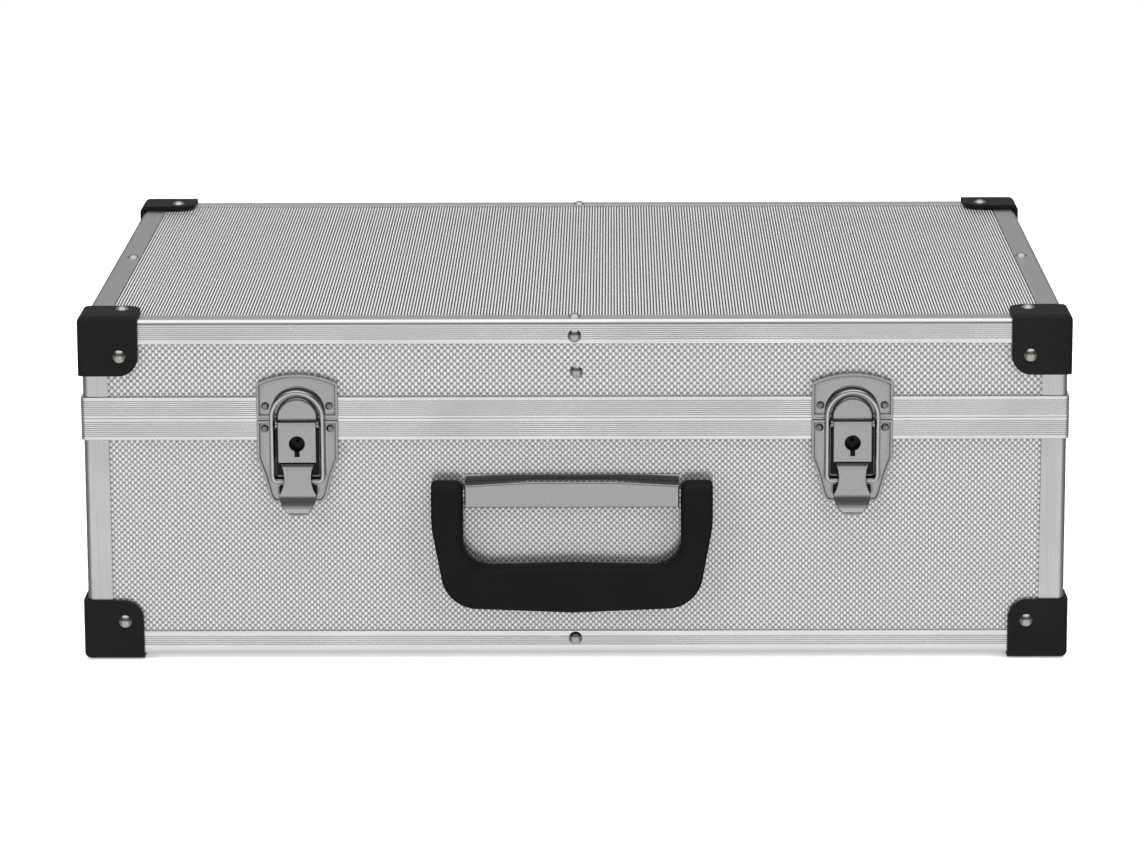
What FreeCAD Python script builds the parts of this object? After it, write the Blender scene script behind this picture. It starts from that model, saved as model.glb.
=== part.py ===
import FreeCAD, Part
import math
import os
import re

import Sketcher

from FreeCAD import Placement, Rotation, Vector

doc = FreeCAD.newDocument("PokerChipCase")

# ---------------------------------------------------------------- dimensions
# All lengths in mm, angles in degrees.  +X right, +Y to the back, +Z up.
# The lock side of the box faces -Y.
DIMENSIONS = {
    # shell, measured over the metal edges
    "shell_length": 456, "shell_width": 326, "shell_bottom": 2, "shell_top": 161.3,
    "shell_middle": 3.4, "seam": 115,
    # walls
    "skin": 1.2, "board": 4, "lining": 1.5,
    # edge strips and corner strips
    "lid_leg": 11.3, "base_leg": 11, "post_leg": 11.8, "edge_round": 2.8,
    "reed_pitch": 0.95, "reed_width": 0.35, "reed_depth": 0.2, "lid_reed_start": 3.1,
    "base_reed_start": 4.4, "rim_reed_start": 1.4,
    # closing rims
    "rim_height": 10, "rim_proud": 1, "rim_web": 2, "rim_inner": 8, "rim_wall": 1.2,
    "rim_round": 2.2, "tongue_rise": 3, "tongue_thick": 1, "tongue_gap": 0.7,
    "seam_groove": 0.2, "seam_groove_depth": 0.8,
    # corner guards
    "guard_reach": 28, "guard_thick": 2, "guard_round": 9, "guard_edge": 3,
    # rivets
    "rivet_radius": 3.15, "rivet_rise": 1.6, "shank_radius": 1.6, "rivet_inset": 19.4,
    "lid_rivet_height": 144.4, "base_rivet_height": 18, "rivet_on_edge": 8.1,
    "lid_panel_rivet": 136.5,
    # latch, depths counted outward from the rim face
    "latch_offset": 128.5, "plate_width": 37.5, "plate_thick": 1, "bead_rise": 0.8,
    "bead_width": 1.1,
    "strike_bottom": 115.8, "strike_top": 136.2, "strike_arc": 43,
    "dome_width": 19.2, "dome_bottom": 115.3, "dome_height": 10.2, "dome_depth": 4,
    "dome_sheet": 0.8, "dome_round": 1.3,
    "base_plate_top": 114.2, "taper_top": 96.6, "taper_middle": 89.4, "base_plate_foot": 75.5,
    "taper_middle_half": 16.1, "foot_half": 13.2,
    "lever_pin_height": 113.2, "lever_pin_depth": 5.2, "lever_pin_radius": 0.9,
    "lever_roll": 1.35, "lever_width": 17.5, "running_gap": 0.05,
    "bail_pin_height": 86, "bail_pin_depth": 3.4, "wire_radius": 1.2, "bail_half": 11.7,
    "bail_top": 128.4, "bail_top_depth": 5.5, "bail_elbow": 2.6,
    "ear_inner": 9.1, "ear_thick": 1, "ear_round": 1.7,
    "key_height": 104.4, "key_radius": 3.65, "key_slot": 2.2, "key_slot_drop": 6.2,
    "lock_half": 9.9, "lock_depth": 5.2, "lock_bore": 4, "lock_top": 110.8, "lock_step": 98,
    "lock_low": 88.8, "lock_low_depth": 3.1, "lock_foot_half": 8.7, "lock_foot": 79.5,
    "lock_foot_top": 83.2, "post_radius": 0.85,
    "small_rivet": 1.9, "small_rivet_rise": 0.5, "strike_rivet_x": 14.8, "strike_rivet_z": 121.2,
    "plate_rivet_x": 15.2, "plate_rivet_z": 110.6,
    # carrying handle
    "handle_shift": -1.4, "handle_axis_height": 80.5, "handle_axis_depth": 7,
    "bracket_length": 99.5, "bracket_height": 12.2, "bracket_depth": 10.2, "bracket_sheet": 1.2,
    "bracket_drop": 1.6, "bracket_crest": 20, "bracket_round": 0.8,
    "bracket_flange": 1.6, "rod_radius": 2.2, "rod_half": 60,
    "grip_half": 65.3, "grip_shoulder": 66, "grip_foot_half": 58.2, "grip_foot_side": 27,
    "grip_foot": 24.7, "grip_inner_half": 50.5, "grip_inner_side": 46, "grip_inner_foot": 47.2,
    "grip_thick": 12.8, "grip_corner": 17, "grip_shoulder_round": 45,
    "grip_inner_corner": 13, "grip_edge": 2.2,
    "grip_inner_edge": 4,
    # hinges
    "hinge_offset": 130, "hinge_length": 44, "hinge_axis": 4.5, "barrel_radius": 3,
    "hinge_pin_radius": 1.5, "leaf_thick": 1.2, "leaf_height": 18, "knuckle_relief": 3.5,
    "hinge_rivet_radius": 2.2, "hinge_rivet_rise": 1, "hinge_rivet_x": 14, "hinge_rivet_z": 12.5,
    # chip tray and padding
    "tray_length": 438, "tray_width": 308, "tray_bottom": 68, "tray_height": 44,
    "tray_floor": 3, "chip_radius": 20.5, "row_pitch": 42, "bank_length": 210, "bank_wall": 4.5,
    "well_depth": 34, "well_width": 72, "card_well": 100, "well_wall": 6,
    "rail_width": 10, "rail_length": 300,
    "pad_length": 434, "pad_width": 304, "pad_bottom": 113.5,
}

sheet = doc.addObject("Spreadsheet::Sheet", "Dims")
for row, (alias, value) in enumerate(DIMENSIONS.items(), start=1):
    sheet.set("A%d" % row, alias)
    sheet.set("B%d" % row, str(value))
    sheet.setAlias("B%d" % row, alias)
doc.recompute()

FRONT = "(shell_middle - shell_width / 2)"
BACK = "(shell_middle + shell_width / 2)"
RIM_FRONT = "(%s - rim_proud)" % FRONT
RIM_BACK = "(%s + rim_proud)" % BACK
PANEL_FRONT = "(%s + skin)" % FRONT
HALF_LENGTH = "shell_length / 2"
HALF_WIDTH = "shell_width / 2"

ALONG = {
    "x": Rotation(Vector(0, 1, 0), 90),
    "y": Rotation(Vector(1, 0, 0), -90),
    "z": Rotation(),
}
nodes = []


# ---------------------------------------------------------------- small tools
def in_sheet(text):
    """Point every dimension word of an expression at the sheet."""
    def swap(match):
        word = match.group(0)
        return "Dims." + word if word in DIMENSIONS else word
    return re.sub(r"[a-z_]+", swap, str(text))


def bind(obj, **values):
    for prop, text in values.items():
        obj.setExpression(prop, in_sheet(text))
    return obj


def place(obj, at, turn=None):
    """Give an object its place; every coordinate is an expression."""
    obj.Placement = Placement(Vector(0, 0, 0), turn or Rotation())
    for axis, text in zip("xyz", at):
        obj.setExpression("Placement.Base." + axis, in_sheet(text))
    return obj


def box(name, size, at, turn=None):
    obj = doc.addObject("Part::Box", name)
    bind(obj, Length=size[0], Width=size[1], Height=size[2])
    return place(obj, at, turn)


def centred_box(name, size, height, middle="shell_middle"):
    """Box centred on x = 0 and on the middle of the shell, from a given z."""
    return box(name, size, ("-(%s) / 2" % size[0], "%s - (%s) / 2" % (middle, size[1]), height))


def rod(name, radius, length, at, along="z"):
    obj = doc.addObject("Part::Cylinder", name)
    bind(obj, Radius=radius, Height=length)
    return place(obj, at, ALONG[along])


def cut(name, base, tool):
    obj = doc.addObject("Part::Cut", name)
    obj.Base = base
    obj.Tool = tool
    return obj


def fuse(name, shapes):
    obj = doc.addObject("Part::MultiFuse", name)
    obj.Shapes = shapes
    return obj


def common(name, shapes):
    obj = doc.addObject("Part::MultiCommon", name)
    obj.Shapes = shapes
    return obj


def group(name, shapes):
    obj = doc.addObject("Part::Compound", name)
    obj.Links = shapes
    return obj


def mirror(name, source, normal, base=(0, 0, 0)):
    obj = doc.addObject("Part::Mirroring", name)
    obj.Source = source
    obj.Normal = Vector(*normal)
    obj.setExpression("Base.x", in_sheet(base[0]))
    obj.setExpression("Base.y", in_sheet(base[1]))
    obj.setExpression("Base.z", in_sheet(base[2]))
    return obj


def size_of(alias):
    return float(DIMENSIONS[alias])


def rounded(name, source, choose, radius):
    """Round the edges of a shape that the test function picks."""
    source.recompute(True)
    obj = doc.addObject("Part::Fillet", name)
    obj.Base = source
    picked = [n for n, edge in enumerate(source.Shape.Edges, start=1) if choose(edge)]
    obj.Edges = [(n, size_of(radius), size_of(radius)) for n in picked]
    return obj


def runs_along(edge, axis):
    """True for a straight edge parallel to an axis (0, 1 or 2)."""
    if not isinstance(edge.Curve, (Part.Line, Part.LineSegment)):
        return False
    step = edge.Vertexes[1].Point.sub(edge.Vertexes[0].Point)
    return abs(abs(step[axis]) - step.Length) < 1e-6


def prism(name, outline, depth, at, turn=None):
    """Extrude a polygon.  Each corner of the sketch is tied to two expressions."""
    sketch = doc.addObject("Sketcher::SketchObject", name + "_sketch")
    values = [[evaluate(text) for text in corner] for corner in outline]
    count = len(outline)
    for n in range(count):
        start = Vector(values[n][0], values[n][1], 0)
        end = Vector(values[(n + 1) % count][0], values[(n + 1) % count][1], 0)
        sketch.addGeometry(Part.LineSegment(start, end), False)
    for n in range(count):
        sketch.addConstraint(Sketcher.Constraint("Coincident", n, 2, (n + 1) % count, 1))
    for n, corner in enumerate(outline):
        for kind, axis, text, value in (
                ("DistanceX", -2, corner[0], values[n][0]),
                ("DistanceY", -1, corner[1], values[n][1])):
            if abs(value) < 1e-9:
                sketch.addConstraint(Sketcher.Constraint("PointOnObject", n, 1, axis))
                continue
            index = sketch.addConstraint(Sketcher.Constraint(kind, -1, 1, n, 1, value))
            sketch.setExpression("Constraints[%d]" % index, in_sheet(text))
    obj = doc.addObject("Part::Extrusion", name)
    obj.Base = sketch
    obj.DirMode = "Normal"
    obj.Solid = True
    bind(obj, LengthFwd=depth)
    return place(obj, at, turn)


def evaluate(text):
    """Number that an expression gives with the present dimensions."""
    probe = doc.getObject("Probe") or doc.addObject("App::FeaturePython", "Probe")
    return float(probe.evalExpression(in_sheet(text)))


def finish(obj, node):
    obj.Label = node
    nodes.append(obj)
    return obj


# ---------------------------------------------------------------- rivets
# Each entry: name, point on the outer surface, outward direction, grip length.
GUARD_GRIP = "guard_thick + skin + board"
EDGE_GRIP = "skin + board"
OUT = {
    "front": ((0, -1, 0), Rotation(Vector(1, 0, 0), 90)),
    "back": ((0, 1, 0), Rotation(Vector(1, 0, 0), -90)),
    "left": ((-1, 0, 0), Rotation(Vector(0, 1, 0), -90)),
    "right": ((1, 0, 0), Rotation(Vector(0, 1, 0), 90)),
    "top": ((0, 0, 1), Rotation()),
    "bottom": ((0, 0, -1), Rotation(Vector(1, 0, 0), 180)),
}


def rivet(name, at, side, grip, radius="rivet_radius", rise="rivet_rise", shank="shank_radius"):
    """Domed head on the surface with a plain shank going inward."""
    turn = OUT[side][1]
    sphere = "((%s) * (%s) + (%s) * (%s)) / (2 * (%s))" % (radius, radius, rise, rise, rise)
    ball = doc.addObject("Part::Sphere", name + "_ball")
    bind(ball, Radius=sphere)
    place(ball, ("0", "0", "%s - %s" % (rise, sphere)))
    cap = common(name + "_cap", [ball, rod(name + "_rim", radius, "2 * " + rise, ("0", "0", "0"))])
    stem = rod(name + "_stem", shank, "(%s) + 0.4" % grip, ("0", "0", "-(%s)" % grip))
    return place(fuse(name, [cap, stem]), at, turn)


def rivet_hole(name, at, side, grip, shank="shank_radius"):
    """Round bore matching a rivet shank."""
    out = OUT[side][0]
    start = ["(%s) + %d * 0.5" % (text, step) for text, step in zip(at, out)]
    hole = doc.addObject("Part::Cylinder", name)
    bind(hole, Radius=shank, Height="(%s) + 0.5" % grip)
    turn = Rotation(Vector(0, 0, 1), Vector(-out[0], -out[1], -out[2]))
    return place(hole, start, turn)


def corner_sites(half):
    """Rivet sites on the corner guards of the lid (top) or the base (bottom)."""
    sites = []
    level = "shell_top" if half == "lid" else "shell_bottom"
    sign = 1 if half == "lid" else -1
    flat = "top" if half == "lid" else "bottom"
    height = "lid_rivet_height" if half == "lid" else "base_rivet_height"
    along_x = "(%s + guard_thick - rivet_inset)" % HALF_LENGTH
    along_y = "(%s + guard_thick - rivet_inset)" % HALF_WIDTH
    for sx in (-1, 1):
        for sy in (-1, 1):
            tag = "%s_%s%s" % (half, "l" if sx < 0 else "r", "f" if sy < 0 else "b")
            x_in = "%d * %s" % (sx, along_x)
            y_in = "shell_middle + %d * %s" % (sy, along_y)
            x_out = "%d * (%s + guard_thick)" % (sx, HALF_LENGTH)
            y_out = "shell_middle + %d * (%s + guard_thick)" % (sy, HALF_WIDTH)
            z_out = "%s + %d * guard_thick" % (level, sign)
            if half == "lid":
                sites.append((tag + "_flat", (x_in, y_in, z_out), flat))
            sites.append((tag + "_face", (x_in, y_out, height), "front" if sy < 0 else "back"))
            sites.append((tag + "_side", (x_out, y_in, height), "left" if sx < 0 else "right"))
    return [(name, at, side, GUARD_GRIP) for name, at, side in sites]


def edge_sites(half):
    """Rivets half-way along the edge strips."""
    sites = []
    level = "shell_top" if half == "lid" else "shell_bottom"
    sign = 1 if half == "lid" else -1
    leg = "lid_leg" if half == "lid" else "base_leg"
    flat = "top" if half == "lid" else "bottom"
    height = "%s - %d * (%s - 3.6)" % (level, sign, leg)
    faces = (("front", ("0", FRONT, height)), ("back", ("0", BACK, height)),
             ("left", ("-" + HALF_LENGTH, "shell_middle", height)),
             ("right", (HALF_LENGTH, "shell_middle", height)))
    for side, at in faces:
        sites.append(("%s_mid_%s" % (half, side), at, side, EDGE_GRIP))
    if half == "lid":
        for side, at in (("front", ("0", "%s + rivet_on_edge" % FRONT, level)),
                         ("back", ("0", "%s - rivet_on_edge" % BACK, level)),
                         ("left", ("rivet_on_edge - %s" % HALF_LENGTH, "shell_middle", level)),
                         ("right", ("%s - rivet_on_edge" % HALF_LENGTH, "shell_middle", level))):
            sites.append(("lid_flat_%s" % side, at, flat, EDGE_GRIP))
        sites.append(("lid_panel_front", ("0.8", PANEL_FRONT, "lid_panel_rivet"), "front", "board"))
    return sites


bores = {}
for half in ("lid", "base"):
    sites = corner_sites(half) + edge_sites(half)
    studs = [rivet("rivet_" + site[0], *site[1:]) for site in sites]
    finish(group(half + "_rivets_set", studs), half + "_rivets")
    holes = [rivet_hole("bore_" + site[0], *site[1:]) for site in sites]
    bores[half] = group(half + "_bores", holes)


# ---------------------------------------------------------------- panels
BOARD_LENGTH = "shell_length - 2 * skin"
BOARD_WIDTH = "shell_width - 2 * skin"


def panels(half):
    """Five boards of one half: flat one, front, back and the two sides."""
    if half == "lid":
        flat_z = "shell_top - skin - board"
        low = "seam + rim_web"
        high = flat_z
    else:
        flat_z = "shell_bottom + skin"
        low = "%s + board" % flat_z
        high = "seam - rim_web"
    tall = "(%s) - (%s)" % (high, low)
    flat_name = "top" if half == "lid" else "bottom"
    side_width = "%s - 2 * board" % BOARD_WIDTH
    side_y = "%s + skin + board" % FRONT
    made = {
        flat_name: centred_box(half + "_flat_board", (BOARD_LENGTH, BOARD_WIDTH, "board"), flat_z),
        "front": box(half + "_front_board", (BOARD_LENGTH, "board", tall),
                     ("skin - " + HALF_LENGTH, PANEL_FRONT, low)),
        "back": box(half + "_back_board", (BOARD_LENGTH, "board", tall),
                    ("skin - " + HALF_LENGTH, "%s - skin - board" % BACK, low)),
        "left": box(half + "_left_board", ("board", side_width, tall),
                    ("skin - " + HALF_LENGTH, side_y, low)),
        "right": box(half + "_right_board", ("board", side_width, tall),
                     ("%s - skin - board" % HALF_LENGTH, side_y, low)),
    }
    for side, blank in made.items():
        node = "%s_%s_panel" % (half, side)
        finish(cut(node + "_drilled", blank, bores[half]), node)


panels("lid")
panels("base")


# ---------------------------------------------------------------- edge strips
def angle_strip(name, length, leg, reed_start, reeds):
    """L strip along local X; the outer corner lies on the X axis.

    One leg runs in +Y and is plain, the other runs in -Z and has fine reeds along it.
    """
    outer = box(name + "_outer", (length, leg, leg), ("0", "0", "-(%s)" % leg))
    inner = box(name + "_inner", ("(%s) + 2" % length, leg, leg),
                ("-1", "skin", "-(%s) - skin" % leg))
    bar = cut(name + "_bar", outer, inner)

    def outer_corner(edge):
        middle = edge.BoundBox.Center
        return runs_along(edge, 0) and abs(middle.y) < 1e-6 and abs(middle.z) < 1e-6

    bar = rounded(name + "_soft", bar, outer_corner, "edge_round")
    grooves = []
    for n in range(reeds):
        low = "-%s - %d * reed_pitch - reed_width" % (reed_start, n)
        grooves.append(box("%s_reed_%d" % (name, n), ("(%s) + 2" % length, "reed_depth", "reed_width"),
                           ("-1", "0", low)))
    return cut(name + "_reeded", bar, group(name + "_reeds", grooves))


def edge_strips(half):
    leg = "lid_leg" if half == "lid" else "base_leg"
    level = "shell_top" if half == "lid" else "shell_bottom"
    reed_start, reeds = ("lid_reed_start", 7) if half == "lid" else ("base_reed_start", 5)
    flip = Rotation() if half == "lid" else Rotation(Vector(1, 0, 0), 180)
    side_length = "shell_width - 2 * %s" % leg
    spin = {"front": 0, "right": 90, "back": 180, "left": 270}
    if half == "base":
        spin = {"back": 0, "left": 90, "front": 180, "right": 270}
    start = {
        "front": ("-" + HALF_LENGTH, FRONT), "back": (HALF_LENGTH, BACK),
        "right": (HALF_LENGTH, "%s + %s" % (FRONT, leg)),
        "left": ("-" + HALF_LENGTH, "%s - %s" % (BACK, leg)),
    }
    if half == "base":
        start = {
            "back": ("-" + HALF_LENGTH, BACK), "front": (HALF_LENGTH, FRONT),
            "left": ("-" + HALF_LENGTH, "%s + %s" % (FRONT, leg)),
            "right": (HALF_LENGTH, "%s - %s" % (BACK, leg)),
        }
    for side in ("front", "back", "left", "right"):
        node = "%s_%s_edge" % (half, side)
        length = "shell_length" if side in ("front", "back") else side_length
        strip = angle_strip(node + "_strip", length, leg, reed_start, reeds)
        turn = Rotation(Vector(0, 0, 1), spin[side]).multiply(flip)
        place(strip, (start[side][0], start[side][1], level), turn)
        finish(cut(node + "_drilled", strip, bores[half]), node)


edge_strips("lid")
edge_strips("base")


def corner_posts(half):
    """Four upright corner strips between the rim and the edge strips."""
    if half == "lid":
        low = "seam + rim_height"
        tall = "shell_top - lid_leg - (%s)" % low
    else:
        low = "shell_bottom + base_leg"
        tall = "seam - rim_height - (%s)" % low
    posts = []
    corners = (("lf", "-" + HALF_LENGTH, FRONT, 0), ("rf", HALF_LENGTH, FRONT, 90),
               ("rb", HALF_LENGTH, BACK, 180), ("lb", "-" + HALF_LENGTH, BACK, 270))
    for tag, x, y, spin in corners:
        name = "%s_post_%s" % (half, tag)
        outer = box(name + "_outer", ("post_leg", "post_leg", tall), ("0", "0", "0"))
        inner = box(name + "_inner", ("post_leg", "post_leg", "(%s) + 2" % tall), ("skin", "skin", "-1"))
        bar = cut(name + "_bar", outer, inner)

        def outer_corner(edge):
            middle = edge.BoundBox.Center
            return runs_along(edge, 2) and abs(middle.x) < 1e-6 and abs(middle.y) < 1e-6

        post = rounded(name, bar, outer_corner, "edge_round")
        posts.append(place(post, (x, y, low), Rotation(Vector(0, 0, 1), spin)))
    strips = group(half + "_post_set", posts)
    finish(cut(half + "_posts_drilled", strips, bores[half]), half + "_corner_posts")


corner_posts("lid")
corner_posts("base")


# ---------------------------------------------------------------- closing rims
def ring_box(name, grow, low, tall, soft=None):
    """Upright block, `grow` larger than the shell on every side."""
    size = ("shell_length + 2 * (%s)" % grow, "shell_width + 2 * (%s)" % grow, tall)
    block = box(name, size, ("-(%s) / 2" % size[0], "-(%s) / 2" % size[1], low))
    if not soft:
        return block
    return rounded(name + "_soft", block, lambda edge: runs_along(edge, 2), soft)


def rim(name, tongue):
    """Channel-shaped frame, modelled with its mating face on local z = 0."""
    block = ring_box(name + "_block", "rim_proud", "0", "rim_height", "rim_round")
    channel = ring_box(name + "_channel", "-skin", "rim_web", "rim_height")
    wall = ring_box(name + "_wall", "-skin - board", "rim_web", "rim_inner - rim_web")
    inset = "tongue_gap + tongue_thick" if tongue else "0"
    clear = "-skin - board - rim_wall - (%s)" % inset
    hollow = ring_box(name + "_hollow", clear, "-20", "60")
    body = fuse(name + "_walls", [cut(name + "_open", block, channel), wall])
    body = cut(name + "_frame", body, hollow)
    if tongue:
        lip = ring_box(name + "_lip", "%s + tongue_thick" % clear, "-tongue_rise", "tongue_rise + rim_web")
        lip = cut(name + "_lip_ring", lip, ring_box(name + "_lip_hole", clear, "-20", "60"))
        body = fuse(name + "_tongued", [body, lip])
    reeds = []
    for n in range(8):
        low = "rim_reed_start + %d * reed_pitch" % n
        outer = ring_box("%s_reed_out_%d" % (name, n), "rim_proud + 2", low, "reed_width")
        inner = ring_box("%s_reed_in_%d" % (name, n), "rim_proud - reed_depth", "(%s) - 0.5" % low,
                         "reed_width + 1", "rim_round")
        reeds.append(cut("%s_reed_%d" % (name, n), outer, inner))
    if not tongue:
        outer = ring_box(name + "_seam_out", "rim_proud + 2", "-1", "1 + seam_groove")
        inner = ring_box(name + "_seam_in", "rim_proud - seam_groove_depth", "-2",
                         "3 + seam_groove", "rim_round")
        reeds.append(cut(name + "_seam", outer, inner))
    return cut(name + "_reeded", body, group(name + "_reeds", reeds))


lid_rim = rim("lid_rim_body", False)
place(lid_rim, ("0", "shell_middle", "seam"))
finish(lid_rim, "lid_rim")
base_rim = rim("base_rim_body", True)
place(base_rim, ("0", "shell_middle", "seam"), Rotation(Vector(1, 0, 0), 180))
finish(base_rim, "base_rim")


# ---------------------------------------------------------------- corner guards
def guard(name):
    """Three-sided cap; its outer corner points to -X, -Y, +Z from the shell corner."""
    reach = "guard_reach"
    outer = box(name + "_outer", (reach, reach, reach),
                ("-guard_thick", "-guard_thick", "guard_thick - guard_reach"))
    inner = box(name + "_inner", (reach, reach, reach), ("0", "0", "-guard_reach"))
    cap = cut(name + "_cap", outer, inner)
    far = size_of("guard_reach") - size_of("guard_thick")
    near = -size_of("guard_thick")

    def inner_corner(edge):
        centre = edge.BoundBox.Center
        ends = (centre.x, centre.y, -centre.z)
        return sum(abs(value - far) < 1e-6 for value in ends) == 2

    def outer_edge(edge):
        centre = edge.BoundBox.Center
        ends = (centre.x, centre.y, -centre.z)
        return sum(abs(value - near) < 1e-6 for value in ends) == 2

    cap = rounded(name + "_leaves", cap, inner_corner, "guard_round")
    return rounded(name, cap, outer_edge, "guard_edge")


def corner_guards(half):
    level = "shell_top" if half == "lid" else "shell_bottom"
    caps = []
    for sx in (-1, 1):
        for sy in (-1, 1):
            tag = "%s_guard_%s%s" % (half, "l" if sx < 0 else "r", "f" if sy < 0 else "b")
            cap = guard(tag + "_plain")
            if sx > 0:
                cap = mirror(tag + "_mx", cap, (1, 0, 0))
            if sy > 0:
                cap = mirror(tag + "_my", cap, (0, 1, 0))
            if half == "base":
                cap = mirror(tag + "_mz", cap, (0, 0, 1))
            moved = group(tag, [cap])
            place(moved, ("%d * %s" % (sx, HALF_LENGTH),
                          "shell_middle + %d * %s" % (sy, HALF_WIDTH), level))
            caps.append(moved)
    finish(cut(half + "_guards_drilled", group(half + "_guards", caps), bores[half]),
           half + "_corner_guards")


corner_guards("lid")
corner_guards("base")


# ---------------------------------------------------------------- linings, tray, pad
CAVITY_LENGTH = "shell_length - 2 * (skin + board)"
CAVITY_WIDTH = "shell_width - 2 * (skin + board)"
FLOOR = "shell_bottom + skin + board"
CEILING = "shell_top - skin - board"


def shell_lining(half):
    if half == "base":
        low = FLOOR
        tall = "seam - rim_inner - (%s)" % low
        hollow_low = "%s + lining" % low
    else:
        low = "seam + rim_inner"
        tall = "%s - (%s)" % (CEILING, low)
        hollow_low = "%s - 100" % CEILING
    block = centred_box(half + "_lining_block", (CAVITY_LENGTH, CAVITY_WIDTH, tall), low)
    hollow_tall = "200" if half == "base" else "100 - lining"
    hollow = centred_box(half + "_lining_hollow",
                         ("%s - 2 * lining" % CAVITY_LENGTH, "%s - 2 * lining" % CAVITY_WIDTH, hollow_tall),
                         hollow_low)
    finish(cut(half + "_lining_body", block, hollow), half + "_lining")


shell_lining("base")
shell_lining("lid")

pad_tall = "%s - lining - pad_bottom" % CEILING
finish(centred_box("lid_pad_body", ("pad_length", "pad_width", pad_tall), "pad_bottom"), "lid_foam_pad")

rail_x = "%s - skin - board - lining" % HALF_LENGTH
rail_size = ("rail_width", "rail_length", "tray_bottom - (%s) - lining" % FLOOR)
rail_y = "shell_middle - rail_length / 2"
rails = [
    box("left_rail", rail_size, ("-(%s)" % rail_x, rail_y, "%s + lining" % FLOOR)),
    box("right_rail", rail_size, ("%s - rail_width" % rail_x, rail_y, "%s + lining" % FLOOR)),
]
finish(group("rail_set", rails), "tray_rails")


ROWS = 5
TRAY_BACK = "shell_middle + tray_width / 2"
ROW_LINE = "tray_bottom + tray_floor + chip_radius"
BANK_Y = "%s - bank_wall - %d * row_pitch" % (TRAY_BACK, ROWS)
BANK_WIDTH = "%d * row_pitch" % ROWS
BANK_X = {"left": "bank_wall - tray_length / 2", "right": "tray_length / 2 - bank_wall - bank_length"}


def chip_bank(side):
    """One block of the tray with five half-round channels side by side, up to the chips' middle line."""
    x = BANK_X[side]
    block = box(side + "_bank_block", ("bank_length", BANK_WIDTH, "tray_floor + chip_radius"),
                (x, BANK_Y, "tray_bottom"))
    channels = []
    for n in range(ROWS):
        y = "%s + %s * row_pitch" % (BANK_Y, n + 0.5)
        channels.append(rod("%s_bank_row_%d" % (side, n), "chip_radius", "bank_length",
                            (x, y, ROW_LINE), "x"))
    rows = group(side + "_bank_rows", channels)
    finish(cut(side + "_bank_body", block, rows), side + "_chip_bank")


def tray_frame():
    """Walls of the tray behind, beside and between the two banks."""
    block = box("tray_frame_block", ("tray_length", "%s + bank_wall" % BANK_WIDTH, "tray_height"),
                ("-tray_length / 2", BANK_Y, "tray_bottom"))
    room = ("bank_length", BANK_WIDTH, "tray_height")
    rooms = [box("tray_room_" + side, room, (x, BANK_Y, "tray_bottom")) for side, x in BANK_X.items()]
    finish(cut("tray_frame_body", block, group("tray_rooms", rooms)), "tray_frame")


def tray_wells():
    """Front of the tray, glued up from foam strips on a floor: three wells for cards, dice and buttons."""
    front = "shell_middle - tray_width / 2"
    inner_length = "(tray_length - 2 * bank_wall)"
    well_y = "%s + bank_wall" % front
    bridge_y = "%s + well_width" % well_y
    divider_x = "tray_length / 2 - bank_wall - card_well"
    divider_tall = "well_depth"
    divider_z = "tray_bottom + tray_height - well_depth"
    strips = [
        box("well_floor", (inner_length, "well_width", "tray_height - well_depth"),
            ("-%s / 2" % inner_length, well_y, "tray_bottom")),
        box("well_front_wall", ("tray_length", "bank_wall", "tray_height"),
            ("-tray_length / 2", front, "tray_bottom")),
        box("well_back_wall", ("tray_length", "%s - (%s)" % (BANK_Y, bridge_y), "tray_height"),
            ("-tray_length / 2", bridge_y, "tray_bottom")),
        box("well_left_end", ("bank_wall", "well_width", "tray_height"),
            ("-tray_length / 2", well_y, "tray_bottom")),
        box("well_right_end", ("bank_wall", "well_width", "tray_height"),
            ("tray_length / 2 - bank_wall", well_y, "tray_bottom")),
        box("well_left_divider", ("well_wall", "well_width", divider_tall),
            ("-(%s)" % divider_x, well_y, divider_z)),
        box("well_right_divider", ("well_wall", "well_width", divider_tall),
            ("%s - well_wall" % divider_x, well_y, divider_z)),
    ]
    finish(group("tray_wells_body", strips), "tray_wells")


chip_bank("left")
chip_bank("right")
tray_frame()
tray_wells()


# ---------------------------------------------------------------- hinges
def hinge_places():
    return (("left", "-hinge_offset"), ("right", "hinge_offset"))


HINGE_Y = "%s + hinge_axis" % BACK
PIN_SEGMENTS = 5


def leaf(name, x, half):
    """Flat leaf with its share of the five knuckles."""
    sign = 1 if half == "lid" else -1
    own = (1, 3) if half == "lid" else (0, 2, 4)
    share = "(hinge_length / %d)" % PIN_SEGMENTS
    bore = "hinge_pin_radius + running_gap" if half == "lid" else "hinge_pin_radius"
    start = "%s - hinge_length / 2" % x
    low = "seam + knuckle_relief" if sign > 0 else "seam - leaf_height"
    pieces = [box(name + "_flat", ("hinge_length", "leaf_thick", "leaf_height - knuckle_relief"),
                  (start, RIM_BACK, low))]
    cores = []
    for n in own:
        gap = "0.15"
        knuckle_x = "%s + %d * %s + %s" % (start, n, share, gap if n else "0")
        trim = "2 * " + gap if 0 < n < PIN_SEGMENTS - 1 else gap
        length = "%s - %s" % (share, trim)
        pieces.append(rod("%s_knuckle_%d" % (name, n), "barrel_radius", length,
                          (knuckle_x, HINGE_Y, "seam"), "x"))
        web_low = "seam" if sign > 0 else "seam - knuckle_relief - 0.5"
        pieces.append(box("%s_web_%d" % (name, n), (length, "leaf_thick", "knuckle_relief + 0.5"),
                          (knuckle_x, RIM_BACK, web_low)))
        cores.append(rod("%s_core_%d" % (name, n), bore, "%s + 0.2" % length,
                         ("%s - 0.1" % knuckle_x, HINGE_Y, "seam"), "x"))
    return cut(name, fuse(name + "_solid", pieces), group(name + "_cores", cores))


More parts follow.
